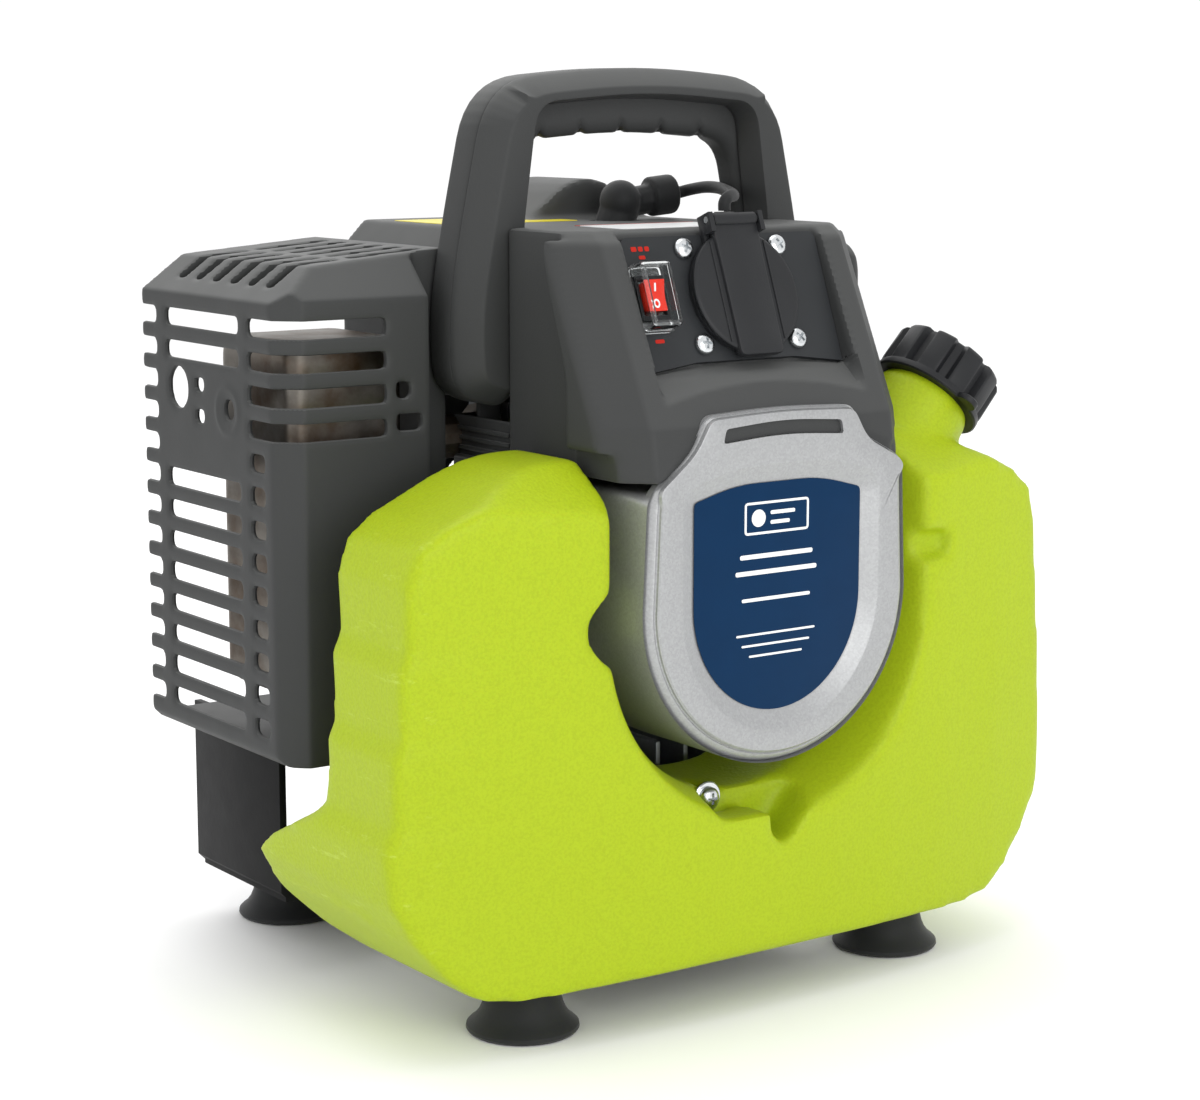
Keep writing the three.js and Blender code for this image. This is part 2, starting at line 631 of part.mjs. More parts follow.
// The slot in the tab.
function ventSlot(shrink) {
  const half = TAB_HALF - 5 - shrink;
  return prism("y", outline([
    [COVER_X - half, TAB_TOP - 12 + shrink], [COVER_X, TAB_TOP - 10 + shrink],
    [COVER_X + half, TAB_TOP - 12 + shrink], [COVER_X + half - 2, TAB_TOP - 6 - shrink],
    [COVER_X, TAB_TOP - 4 - shrink], [COVER_X - half + 1, TAB_TOP - 6 - shrink],
  ]), COVER_FACE - 2 + shrink * 8, COVER_FACE + COVER_FACE_WALL + (shrink ? 0 : 2));
}

function labelPlate() {
  const half = LABEL_HALF - GAP;
  const top = LABEL_TOP - GAP;
  return prism("y", shield(half, LABEL_BOTTOM + GAP, [
    [-half, top - 7], [-half / 2, top - 1], [half / 2, top - 1], [half, top - 7],
  ]), COVER_FACE + LABEL_DEPTH - GAP - 1, COVER_FACE + LABEL_DEPTH - GAP, { steps: 12 });
}

// ---- Control housing ----------------------------------------------------------------------

function housingProfile(inset) {
  const frontTop = HOUSING_FRONT_TOP + inset;
  return outline([
    [COVER_FACE + 0.5 + inset, HOUSING_BOTTOM], [-124 + inset, 222], [frontTop, HOUSING_TOP - 4],
    [frontTop + 6, HOUSING_TOP - inset], [HOUSING_BACK - inset, HOUSING_TOP - inset],
    [HOUSING_BACK - inset, HOUSING_BOTTOM],
  ]);
}

// The arched lower edge of the panel, or of its recess when dropped by a clearance.
function panelArch(half, drop) {
  return [
    [-half, PANEL_LOW - PANEL_ARCH - drop], [-half / 2, PANEL_LOW - PANEL_ARCH / 4 - drop],
    [half / 2, PANEL_LOW - PANEL_ARCH / 4 - drop], [half, PANEL_LOW - PANEL_ARCH - drop],
  ];
}

function controlHousing() {
  const body = prism("x", housingProfile(0), -HOUSING_HALF, HOUSING_HALF);
  const pillar = (side) => {
    const column = prism("x", housingProfile(0), ...order(side * (PILLAR_IN - 4), side * PILLAR_OUT));
    const outside = side * (PILLAR_OUT + 1);
    const flank = box(...order(side * HOUSING_HALF, outside), PILLAR_BACK, 0, HOUSING_BOTTOM - 10, 300);
    const overLobe = box(...order(side * (HOUSING_HALF + 1), outside), -140, 0, 190, TANK_TOP + 3);
    return cut(column, flank, overLobe);
  };
  const cavity = prism("x", outline([
    [-112, HOUSING_BOTTOM - 10], [-112, 206], [-80, HOUSING_TOP - 4],
    [HOUSING_BACK - WALL, HOUSING_TOP - 4], [HOUSING_BACK - WALL, HOUSING_BOTTOM - 10],
  ]), -HOUSING_HALF + WALL, HOUSING_HALF - WALL);
  const recess = moved(prism("y", outline([
    ...panelArch(PILLAR_IN, 1), [PILLAR_IN, 80], [-PILLAR_IN, 80],
  ]), -30, PANEL_PLATE + GAP), panel.matrix);
  const sill = moved(prism("x", outline([
    [PANEL_PLATE, PANEL_LOW - 1], [-26, PANEL_LOW - 18], [-26, PANEL_LOW + 10],
  ]), -PILLAR_IN, PILLAR_IN), panel.matrix);
  const coverSeat = prism("y", shield(COVER_RADIUS + GAP, COVER_Z - COVER_RADIUS, coverTop(GAP)),
    COVER_FACE - 10, COVER_FACE + COVER_FACE_WALL + GAP, { steps: 14 });
  const socketHole = moved(bar("y", SOCKET_RADIUS + 1, -5, 25, [SOCKET_X, 0, SOCKET_UP]), panel.matrix);
  const switchHole = moved(box(SWITCH_X - 6, SWITCH_X + 6, -5, 25, SWITCH_UP - 8, SWITCH_UP + 8),
    panel.matrix);
  const leadHole = bar("z", GROMMET_NECK + GAP, 270, 300, [GROMMET_AT.x, GROMMET_AT.y, 0], SMALL_ROUND);
  return cut(unite(body, pillar(-1), pillar(1)), cavity, recess, sill, coverSeat, socketHole,
    switchHole, leadHole);
}

function controlPanel() {
  const half = PILLAR_IN - 0.8;
  const plate = prism("y", outline([
    ...panelArch(half, 0), [half, PANEL_HIGH, 3], [-half, PANEL_HIGH, 3],
  ]), 0, PANEL_PLATE);
  return cut(plate, bar("y", SOCKET_RADIUS + GAP, -5, 25, [SOCKET_X, 0, SOCKET_UP]),
    box(SWITCH_X - 6.4, SWITCH_X + 6.4, -5, 25, SWITCH_UP - 8, SWITCH_UP + 8));
}

// ---- Socket and switch, in the panel's frame ----------------------------------------------

function socketBody() {
  const barrel = bar("y", SOCKET_RADIUS, FLANGE_FRONT, SOCKET_DEPTH, [SOCKET_X, 0, SOCKET_UP]);
  const flange = bar("y", SOCKET_FLANGE, FLANGE_FRONT, -GAP, [SOCKET_X, 0, SOCKET_UP]);
  const neck = box(SOCKET_X - HINGE_HALF, SOCKET_X + HINGE_HALF, FLANGE_FRONT, -GAP,
    SOCKET_UP + 15, HINGE_UP - 3);
  const ears = [-1, 1].map((side) => {
    const from = SOCKET_X + side * (HINGE_HALF - 1) - 1;
    return box(from, from + 2, HINGE_OUT - 2.4, -GAP, HINGE_UP - 5, HINGE_UP + 2.4);
  });
  const cavity = bar("y", SOCKET_CAVITY, FLANGE_FRONT - 5, 15, [SOCKET_X, 0, SOCKET_UP]);
  const pinHoles = [-9.5, 9.5].map((x) =>
    bar("y", 2.6, 10, 22, [SOCKET_X + x, 0, SOCKET_UP], SMALL_ROUND));
  const hingeBore = bar("x", PIN_RADIUS + 0.25, SOCKET_X - 20, SOCKET_X + 20,
    [0, HINGE_OUT, HINGE_UP], SMALL_ROUND);
  return cut(unite(barrel, flange, neck, ...ears), cavity, ...pinHoles, hingeBore);
}

function socketLid() {
  const disc = bar("y", LID_RADIUS, LID_BACK - LID_THICK, LID_BACK, [SOCKET_X, 0, SOCKET_UP], 28);
  const strap = box(SOCKET_X - LID_TAB, SOCKET_X + LID_TAB, LID_BACK - LID_THICK - 2, LID_BACK - 0.5,
    SOCKET_UP - LID_RADIUS, HINGE_UP);
  const knuckle = bar("x", 2.5, SOCKET_X - HINGE_HALF + 2.6, SOCKET_X + HINGE_HALF - 2.6,
    [0, HINGE_OUT, HINGE_UP], SMALL_ROUND);
  const bore = bar("x", PIN_RADIUS + 0.3, SOCKET_X - 20, SOCKET_X + 20,
    [0, HINGE_OUT, HINGE_UP], SMALL_ROUND);
  const relief = box(SOCKET_X - 30, SOCKET_X + 30, LID_BACK, 5, HINGE_UP - 4, HINGE_UP + 4);
  return cut(unite(disc, strap, knuckle), bore, relief);
}

function lidPin() {
  return bar("x", PIN_RADIUS, SOCKET_X - HINGE_HALF, SOCKET_X + HINGE_HALF,
    [0, HINGE_OUT, HINGE_UP], SMALL_ROUND);
}

function panelScrew() {
  return turned("y", [[0, -3.4], [2.4, -3.2], [SCREW_HEAD, -1.8], [SCREW_HEAD, -GAP], [0, -GAP]],
    [0, 0, 0], SMALL_ROUND);
}

function addPanelScrews() {
  const corners = { upper_left: [-1, 1], upper_right: [1, 1], lower_left: [-1, -1], lower_right: [1, -1] };
  for (const [name, [alongX, up]] of Object.entries(corners)) {
    const mesh = node(`panel_screw_${name}`, panelScrew(), STEEL);
    mesh.position.set(SOCKET_X + alongX * SCREW_X, 0, SOCKET_UP + up * SCREW_UP);
    panel.add(mesh);
  }
}

function switchBody() {
  const half = SWITCH_HALF + 1.1;
  const tall = SWITCH_TALL / 2 + 1.4;
  const shell = unite(
    box(SWITCH_X - 5.9, SWITCH_X + 5.9, -GAP - 1, 18, SWITCH_UP - 7.6, SWITCH_UP + 7.6),
    box(SWITCH_X - half, SWITCH_X + half, -GAP - 1.6, -GAP, SWITCH_UP - tall, SWITCH_UP + tall));
  return cut(shell, box(SWITCH_X - 4.9, SWITCH_X + 4.9, -5, 12, SWITCH_UP - 6.6, SWITCH_UP + 6.6));
}

function switchRocker() {
  const half = 4.9 - 0.4;
  return prism("x", outline([
    [-5.2, 5.8], [-3, 0], [-3.4, -5.8], [2.4, -4.6], [4, 0], [2.4, 4.6],
  ].map(([y, z]) => [y, z + SWITCH_UP])), SWITCH_X - half, SWITCH_X + half);
}

function switchCover() {
  const ring = (half, tall) => outline([
    [SWITCH_X - half, SWITCH_UP - tall, 2], [SWITCH_X + half, SWITCH_UP - tall, 2],
    [SWITCH_X + half, SWITCH_UP + tall, 2], [SWITCH_X - half, SWITCH_UP + tall, 2],
  ]);
  const out = prism("y", ring(SWITCH_COVER_HALF, SWITCH_COVER_TALL / 2), -8.4, -GAP);
  const hollow = prism("y", ring(SWITCH_COVER_HALF - 0.9, SWITCH_COVER_TALL / 2 - 0.9), -7.4, 1);
  return cut(out, hollow);
}

// ---- Handle -------------------------------------------------------------------------------

// The outline of a handle shell, drawn in by an inset, whose grip ends below at a height.
function handleOutline(inset, gripUnder) {
  const outside = [
    [HAND_LOW_HALF + 0.5 + inset, HANDLE_BOTTOM + inset, 6],
    [HANDLE_OUT - inset, HANDLE_BOTTOM + 8 + inset, 10],
    [HANDLE_OUT - 0.5 - inset, HANDLE_BOTTOM + 38, 4], [HANDLE_WAIST - inset, HOUSING_TOP, 6],
    [HANDLE_SHOULDER - inset, HANDLE_TOP - 7 - inset, 20],
  ];
  const inside = [[HAND_HALF + inset, gripUnder - 4, 5], [HAND_LOW_HALF + inset, HOUSING_TOP, 0]];
  const mirrored = (corners) => corners.map(([x, z, rounding]) => [-x, z, rounding]).reverse();
  return [
    ...outside, [0, HANDLE_TOP - inset, 0], ...mirrored(outside),
    ...mirrored(inside), [0, gripUnder, 0], ...inside,
  ].map(([x, z, rounding]) => [x + HANDLE_X, z, rounding]);
}

function handleFront() {
  return prism("y", outline(handleOutline(0, GRIP_FRONT_UNDER)), HANDLE_FRONT, HANDLE_SEAM - GAP / 2);
}

function handleRear() {
  const grooves = [-2, -1, 0, 1, 2].map((i) => bar("y", 3, HANDLE_SEAM - 1, HANDLE_BACK + 1,
    [HANDLE_X + i * FINGER_PITCH, 0, GRIP_UNDER - 2.2], 8));
  const shell = prism("y", outline(handleOutline(1.2, GRIP_UNDER)), HANDLE_SEAM + GAP / 2, HANDLE_BACK);
  return cut(shell, ...grooves);
}

// ---- Engine -------------------------------------------------------------------------------

function crankcase() {
  const barrel = bar("y", CASE_RADIUS, -CASE_HALF, CASE_HALF, CRANK_AT);
  const legs = box(CRANK_X - CASE_WIDTH + 2, CRANK_X + CASE_WIDTH - 4, -40, 40, BASE_TOP + GAP, 122);
  const deck = bar("z", CYLINDER_FOOT, CRANK_Z, CYLINDER_BASE - GAP, [CRANK_X, CYLINDER_Y, 0]);
  const arch = box(CRANK_X - 49, CRANK_X + 47, -50, 50, 0, 100);
  const chamber = bar("y", WEB_RADIUS + 1.5, -WEB_OUT - 1.5, WEB_OUT + 1.5, CRANK_AT);
  const shaftBore = bar("y", JOURNAL + 0.5, -60, 60, CRANK_AT);
  const throat = bar("z", BORE, CRANK_Z, CYLINDER_BASE + 5, [CRANK_X, CYLINDER_Y, 0]);
  return cut(unite(barrel, legs, deck), arch, chamber, shaftBore, throat);
}

function cylinder() {
  const core = CYLINDER_CORE;
  const first = CYLINDER_BASE + 36;
  const pitch = (CYLINDER_TOP - 4 - first) / (FINS - 1);
  const roof = CYLINDER_TOP - 9;
  const profile = [[0, roof], [BORE, roof], [BORE, CYLINDER_BASE]];
  const flangeTop = CYLINDER_BASE + 5;
  profile.push([CYLINDER_FOOT, CYLINDER_BASE], [CYLINDER_FOOT, flangeTop], [core, flangeTop]);
  for (let i = 0; i < FINS; i += 1) {
    const z = first + i * pitch;
    profile.push([core, z - 1.2], [FIN_RADIUS, z - 1.2], [FIN_RADIUS, z + 1.2], [core, z + 1.2]);
  }
  profile.push([core, CYLINDER_TOP], [0, CYLINDER_TOP]);
  const barrel = turned("z", profile, [CRANK_X, CYLINDER_Y, 0]);
  const port = (left, right) => box(left, right, CYLINDER_Y - PORT_HALF, CYLINDER_Y + PORT_HALF,
    PORT_Z - PORT_HALF + 1, PORT_Z + PORT_HALF - 1);
  const exhaustPort = port(EXHAUST_PORT, EXHAUST_PORT + 24);
  const intakePort = port(INTAKE_PORT - 23, INTAKE_PORT);
  const ports = bar("x", PORT_RADIUS, -60, 60, [0, CYLINDER_Y, PORT_Z], SMALL_ROUND);
  const bore = bar("z", BORE, CYLINDER_BASE - 5, roof, [CRANK_X, CYLINDER_Y, 0]);
  const plugHole = moved(bar("z", 5.6, -60, 30, [0, 0, 0], SMALL_ROUND), plugFrame());
  const plugSeat = moved(bar("z", 11, -28, 30, [0, 0, 0], SMALL_ROUND), plugFrame());
  return cut(unite(barrel, exhaustPort, intakePort), bore, ports, plugHole, plugSeat);
}

// The spark plug's frame: origin where it leaves the shroud, leaning to +X.
function plugFrame() {
  const lean = new THREE.Matrix4().makeRotationY(PLUG_LEAN);
  return new THREE.Matrix4().makeTranslation(PLUG_AT).multiply(lean);
}

function piston() {
  const at = [CRANK_X, CYLINDER_Y, 0];
  const crown = bar("z", PISTON_RADIUS, PISTON_LOW, PISTON_HIGH, at);
  const hollow = bar("z", PISTON_RADIUS - 3.5, PISTON_LOW - 1, PISTON_HIGH - 5, at);
  const pinHole = bar("y", PIN_BORE + 0.3, -40, 40, [CRANK_X, CYLINDER_Y, GUDGEON_Z], SMALL_ROUND);
  return cut(crown, hollow, pinHole);
}

function connectingRod() {
  const half = 5;
  const shank = box(CRANK_X - 4.5, CRANK_X + 4.5, -2.6, 2.6, TOP_PIN + 5, GUDGEON_Z - 5);
  const big = bar("y", 10, -half, half, [CRANK_X, 0, TOP_PIN], SMALL_ROUND + 4);
  const small = bar("y", 7.6, -half, half, [CRANK_X, 0, GUDGEON_Z], SMALL_ROUND + 4);
  return cut(unite(shank, big, small),
    bar("y", CRANK_PIN + 0.4, -9, 9, [CRANK_X, 0, TOP_PIN], SMALL_ROUND + 4),
    bar("y", PIN_BORE + 0.3, -9, 9, [CRANK_X, 0, GUDGEON_Z], SMALL_ROUND));
}

function pistonPin() {
  const half = PISTON_RADIUS - 1.35;
  return bar("y", PIN_BORE, -half, half, [CRANK_X, CYLINDER_Y, GUDGEON_Z], SMALL_ROUND);
}

function crankPin() {
  const half = WEB_IN - 0.7;
  return bar("y", CRANK_PIN, -half, half, [CRANK_X, 0, TOP_PIN], SMALL_ROUND);
}

function crankHalf(side) {
  const web = bar("y", WEB_RADIUS, ...order(side * WEB_IN, side * WEB_OUT), CRANK_AT);
  const end = side < 0 ? FLYWHEEL_NOSE : STARTER_CUP_BACK - 4;
  const journal = bar("y", JOURNAL, ...order(side * (WEB_OUT - 1), end), CRANK_AT, SMALL_ROUND);
  return unite(web, journal);
}

// ---- Generator end: stator, rotor and fan behind the cover -------------------------------

function stator() {
  const ring = turned("y", [[14, ROTOR_PLATE + 4], [30, ROTOR_PLATE + 4], [30, STATOR_BACK], [14, STATOR_BACK]],
    CRANK_AT);
  const teeth = Array.from({ length: 12 }, (_, i) => moved(
    box(24, 38, ROTOR_PLATE + 6, STATOR_BACK - 3, -3, 3),
    new THREE.Matrix4().makeTranslation(...CRANK_AT)
      .multiply(new THREE.Matrix4().makeRotationY((i * Math.PI) / 6))));
  return unite(ring, ...teeth);
}

function flywheel() {
  const hub = JOURNAL + 0.4;
  return turned("y", [
    [hub, ROTOR_PLATE - 3], [ROTOR_RADIUS, ROTOR_PLATE - 3], [ROTOR_RADIUS, ROTOR_BACK], [40, ROTOR_BACK],
    [40, ROTOR_PLATE + 2], [hub + 4, ROTOR_PLATE + 2], [hub + 4, ROTOR_PLATE + 12], [hub, ROTOR_PLATE + 12],
  ], CRANK_AT);
}

function coolingFan() {
  const hub = JOURNAL + 0.4;
  const disc = turned("y", [[hub, FAN_FRONT], [hub + 6, FAN_FRONT], [hub + 8, FAN_BACK - 3],
    [ROTOR_RADIUS, FAN_BACK - 3], [ROTOR_RADIUS, FAN_BACK], [hub, FAN_BACK]], CRANK_AT);
  const blades = Array.from({ length: 9 }, (_, i) => moved(
    box(15, ROTOR_RADIUS - 1, FAN_FRONT, FAN_BACK - 2, -1, 1),
    new THREE.Matrix4().makeTranslation(...CRANK_AT)
      .multiply(new THREE.Matrix4().makeRotationY((i * 2 * Math.PI) / 9))));
  return unite(disc, ...blades);
}

// ---- Recoil starter -----------------------------------------------------------------------

function starterCup() {
  const hub = JOURNAL + 0.4;
  return turned("y", [[hub, STARTER_CUP_FRONT], [24, STARTER_CUP_FRONT], [26, STARTER_CUP_BACK],
    [22, STARTER_CUP_BACK], [20, STARTER_CUP_FRONT + 4], [hub, STARTER_CUP_FRONT + 4]], CRANK_AT);
}

function recoilHousing() {
  const front = CASE_HALF + GAP;
  const shell = turned("y", [
    [0, PULLEY_FRONT + 2], [POST_RADIUS, PULLEY_FRONT + 2], [POST_RADIUS, RECOIL_BACK - WALL],
    [RECOIL_RADIUS - 13, RECOIL_BACK - WALL], [RECOIL_RADIUS - WALL, RECOIL_BACK - 13],
    [RECOIL_RADIUS - WALL, front], [RECOIL_RADIUS, front], [RECOIL_RADIUS, RECOIL_BACK - 12],
    [RECOIL_RADIUS - 12, RECOIL_BACK], [0, RECOIL_BACK],
  ], CRANK_AT, 28);
  const spokes = [0, 1, 2].map((i) => moved(box(CASE_RADIUS - 8, RECOIL_RADIUS - 1, front, front + 4, -6, 6),
    new THREE.Matrix4().makeTranslation(...CRANK_AT)
      .multiply(new THREE.Matrix4().makeRotationY(Math.PI / 2 + (i * 2 * Math.PI) / 3))));
  const guide = box(ROPE_X - 9, ROPE_X + 9, ROPE_Y - 8, ROPE_Y + 8, CRANK_Z + 40, PULL_Z - 1.5);
  const guideSpace = turned("y", [[0, front - 1], [RECOIL_RADIUS - WALL, front - 1],
    [RECOIL_RADIUS - WALL, RECOIL_BACK - 13], [0, RECOIL_BACK - 13]], CRANK_AT, 28);
  const ropeHole = bar("z", ROPE_RADIUS + 1.2, CRANK_Z, PULL_Z + 5, [ROPE_X, ROPE_Y, 0], 8);
  const vents = Array.from({ length: 8 }, (_, i) => moved(
    box(18, 38, RECOIL_BACK - 8, RECOIL_BACK + 2, -2.6, 2.6),
    new THREE.Matrix4().makeTranslation(...CRANK_AT)
      .multiply(new THREE.Matrix4().makeRotationY((i * Math.PI) / 4))));
  return cut(unite(shell, ...spokes, cut(guide, guideSpace)), ropeHole, ...vents);
}

function recoilPulley() {
  const bore = POST_RADIUS + RUN;
  return turned("y", [
    [bore, PULLEY_FRONT], [PULLEY_RADIUS, PULLEY_FRONT], [PULLEY_RADIUS, PULLEY_FRONT + 2],
    [ROPE_TURN - 3, PULLEY_FRONT + 3], [ROPE_TURN - 3, PULLEY_BACK - 3], [PULLEY_RADIUS, PULLEY_BACK - 2],
    [PULLEY_RADIUS, PULLEY_BACK], [bore, PULLEY_BACK],
  ], CRANK_AT);
}

function recoilSpring() {
  const inner = POST_RADIUS + RUN;
  const outer = PULLEY_RADIUS - 6;
  const front = PULLEY_BACK + 1;
  return turned("y", [[inner, front], [outer, front], [outer, SPRING_BACK], [inner, SPRING_BACK]], CRANK_AT);
}

function pullHandle() {
  const grip = prism("y", outline([
    [ROPE_X - GRIP_HALF, PULL_Z + 8, 5], [ROPE_X - 6, PULL_Z], [ROPE_X + 6, PULL_Z],
    [ROPE_X + GRIP_HALF, PULL_Z + 8, 5], [ROPE_X + GRIP_HALF, PULL_Z + 19, 5],
    [ROPE_X - GRIP_HALF, PULL_Z + 19, 5],
  ]), ROPE_Y - 8, ROPE_Y + 8, { chamfer: 2 });
  return cut(grip, bar("z", ROPE_RADIUS + 0.3, PULL_Z - 5, PULL_Z + 10, [ROPE_X, ROPE_Y, 0], 8));
}

function pullRope() {
  return bar("z", ROPE_RADIUS, CRANK_Z + 1, PULL_Z + 9, [ROPE_X, ROPE_Y, 0], 8);
}

// ---- Shroud, silencer and guard -----------------------------------------------------------

function shroud() {
  const section = (left, right, inset) => outline([
    [left + inset, SHROUD_BOTTOM - inset], [right - inset, SHROUD_BOTTOM - inset],
    [right - inset, SHROUD_TOP - SHROUD_SLOPE - inset / 2], [right - SHROUD_SLOPE, SHROUD_TOP - inset],
    [left + SHROUD_SLOPE, SHROUD_TOP - inset], [left + inset, SHROUD_TOP - SHROUD_SLOPE - inset / 2],
  ]);
  const wideFront = HANDLE_BACK + GAP;
  const wide = prism("y", section(SHROUD_LEFT, SHROUD_RIGHT, 0), wideFront, SHROUD_BACK);
  const wideSpace = prism("y", section(SHROUD_LEFT, SHROUD_RIGHT, WALL),
    wideFront + WALL, SHROUD_BACK - WALL);
  const bridge = box(HANDLE_X - BRIDGE_HALF, HANDLE_X + BRIDGE_HALF, HOUSING_BACK + GAP,
    wideFront + 1, SHROUD_TOP - 26, SHROUD_TOP);
  const bridgeSpace = box(HANDLE_X - BRIDGE_HALF + WALL, HANDLE_X + BRIDGE_HALF - WALL,
    HOUSING_BACK + WALL, wideFront + WALL + 1, SHROUD_TOP - 30, SHROUD_TOP - WALL);
  const humpX = (HUMP.left + HUMP.right) / 2;
  const crown = SHROUD_TOP + HUMP.rise;
  const hump = prism("y", outline([
    [HUMP.left, SHROUD_TOP - 2], [HUMP.right, SHROUD_TOP - 2], [humpX + 8, crown, 8], [humpX - 8, crown, 8],
  ]), HUMP.front, HUMP.back);
  const humpSpace = prism("y", outline([
    [HUMP.left + 6, SHROUD_TOP - 5], [HUMP.right - 6, SHROUD_TOP - 5], [humpX, crown - 4],
  ]), HUMP.front + WALL, HUMP.back - WALL);
  const plugWell = moved(bar("z", 10, -30, 12, [0, 0, 0], SMALL_ROUND), plugFrame());
  const underBridge = box(HANDLE_X - BRIDGE_HALF + WALL, HANDLE_X + BRIDGE_HALF - WALL, wideFront - 1,
    wideFront + WALL + 1, SHROUD_BOTTOM - 1, SHROUD_TOP - WALL);
  const exhaustWindow = box(SHROUD_LEFT - 1, SHROUD_LEFT + 12, -PORT_WINDOW, PORT_WINDOW,
    SHROUD_BOTTOM - 1, PORT_Z + 17);
  const intakeWindow = box(SHROUD_RIGHT - 12, SHROUD_RIGHT + 1, -PORT_WINDOW, PORT_WINDOW + 8,
    SHROUD_BOTTOM - 1, PORT_Z + 35);
  return cut(unite(wide, bridge, hump), wideSpace, bridgeSpace, humpSpace, plugWell, underBridge,
    exhaustWindow, intakeWindow);
}

function guardOutline(inset) {
  const left = GUARD_LEFT + inset;
  const top = GUARD_TOP - inset;
  return outline([
    [left, GUARD_BOTTOM + inset + 4], [left + 4, GUARD_BOTTOM + inset],
    [GUARD_RIGHT + (inset ? 10 : 0), GUARD_BOTTOM + inset],
    [GUARD_RIGHT + (inset ? 10 : 0), top + GUARD_RISE], [left + GUARD_CHAMFER + 9, top],
    [left, GUARD_RIM - inset / 2],
  ]);
}

function silencerGuard() {
  const plan = (inset) => outline([
    [GUARD_LEFT + inset, GUARD_FRONT + GUARD_CHAMFER + inset / 2],
    [GUARD_LEFT + GUARD_CHAMFER + inset / 2, GUARD_FRONT + inset],
    [GUARD_STEP - inset, GUARD_FRONT + inset], [GUARD_STEP - inset, HANDLE_BACK + GAP + inset],
    [GUARD_RIGHT + (inset ? 10 : 0), HANDLE_BACK + GAP + inset],
    [GUARD_RIGHT + (inset ? 10 : 0), GUARD_BACK + (inset ? 10 : 0)],
    [GUARD_LEFT + inset, GUARD_BACK + (inset ? 10 : 0)],
  ]);
  const outer = prism("y", guardOutline(0), GUARD_FRONT, GUARD_BACK)
    .intersect(prism("z", plan(0), GUARD_BOTTOM - 5, GUARD_TOP + 20));
  const inner = prism("y", guardOutline(WALL), GUARD_FRONT, GUARD_BACK + 10)
    .intersect(prism("z", plan(WALL), GUARD_BOTTOM, GUARD_TOP + 20));
  return cut(outer, inner, roofFall(), ...guardSlots(), ...bossHoles());
}

// The slope along the front edge of the roof.
function roofFall() {
  return prism("x", outline([
    [GUARD_FRONT - 1, GUARD_RIM], [GUARD_FRONT - 1, GUARD_TOP + 20], [GUARD_FRONT + 14, GUARD_TOP + 20],
    [GUARD_FRONT + 14, GUARD_TOP + 3],
  ]), GUARD_LEFT - 1, GUARD_RIGHT + 1);
}

function guardSlots() {
  const cuts = [];
  const outside = GUARD_LEFT - 2;
  const inside = GUARD_LEFT + WALL + 2;
  for (let row = 0; row < SLOT_ROWS; row += 1) {
    const top = SLOT_TOP - row * SLOT_PITCH;
    const low = top - SLOT_TALL;
    cuts.push(box(outside, inside, RIB_BACK[1], GUARD_BACK + 2, low, top));
    if (!BOSS_ROWS.includes(row)) {
      cuts.push(box(outside, inside, RIB_FRONT[1], RIB_BACK[0], low, top));
    }
    if (row < CORNER_ROWS) {
      cuts.push(box(outside, inside + 8, GUARD_FRONT - 2, RIB_FRONT[0], low, top));
      cuts.push(box(outside, -108, GUARD_FRONT - 2, GUARD_FRONT + WALL + 2, low, top));
    } else {
      cuts.push(box(outside, inside, WINDOW_FRONT, RIB_FRONT[0] - 1, low, top));
    }
  }
  cuts.push(box(-104, -98, GUARD_FRONT - 2, GUARD_FRONT + 5, 229, 235));
  cuts.push(box(-104, -93, GUARD_FRONT - 2, GUARD_FRONT + 5, 217, 223));
  for (let i = 0; i < ROOF_SLOTS; i += 1) {
    const y = GUARD_FRONT + 20 + i * ROOF_PITCH;
    cuts.push(box(GUARD_LEFT + 8, -116, y, y + ROOF_SLOT, GUARD_RIM + 2, GUARD_TOP + 20));
    cuts.push(box(-111, GUARD_RIGHT - 7, y, y + ROOF_SLOT, GUARD_RIM + 2, GUARD_TOP + 20));
  }
  return cuts;
}

function bossHoles() {
  const through = (radius, y, z, sides) =>
    bar("x", radius, GUARD_LEFT - 2, GUARD_LEFT + WALL + 2, [0, y, z], sides);
  return [
    through(8, 52, 229, 16),
    box(GUARD_LEFT - 2, GUARD_LEFT + WALL + 2, 31, 38, 229, 234),
    box(GUARD_LEFT - 2, GUARD_LEFT + WALL + 2, 31, 38, 217, 222),
    through(4, 11, 224, SMALL_ROUND),
  ];
}

function silencer() {
  const form = (inset) => {
    const [front, back] = [SILENCER.front + inset, SILENCER.back - inset];
    const [low, high] = [SILENCER.low + inset, SILENCER.high - inset];
    const side = outline([[front, low, 8], [back, low, 8], [back, high, 8], [front, high, 8]]);
    return prism("x", side, SILENCER.left + inset, EXHAUST_LEFT - inset, { chamfer: 4 });
  };
  const inlet = bar("x", PIPE_RADIUS + 1.2, -100, EXHAUST_LEFT + 2, [0, CYLINDER_Y, PORT_Z], SMALL_ROUND);
  const outlet = bar("y", 6, SILENCER.back - 6, SILENCER.back + 4, EXHAUST_OUTLET.toArray(), SMALL_ROUND);
  return cut(form(0), form(SILENCER_WALL), inlet, outlet);
}

function exhaustPipe() {
  const face = EXHAUST_PORT - GAP;
  return turned("x", [
    [PIPE_BORE, PIPE_LEFT], [PIPE_RADIUS, PIPE_LEFT], [PIPE_RADIUS, -50], [12, -50], [12, face],
    [PIPE_BORE, face],
  ], [0, CYLINDER_Y, PORT_Z], SMALL_ROUND + 4);
}

// ---- Fuel and air -------------------------------------------------------------------------

function intakeManifold() {
  const end = CARB_X - GAP;
  return turned("x", [[PORT_RADIUS, INTAKE_X], [15, INTAKE_X], [15, end], [PORT_RADIUS, end]],
    [0, CYLINDER_Y, PORT_Z], SMALL_ROUND + 4);
}

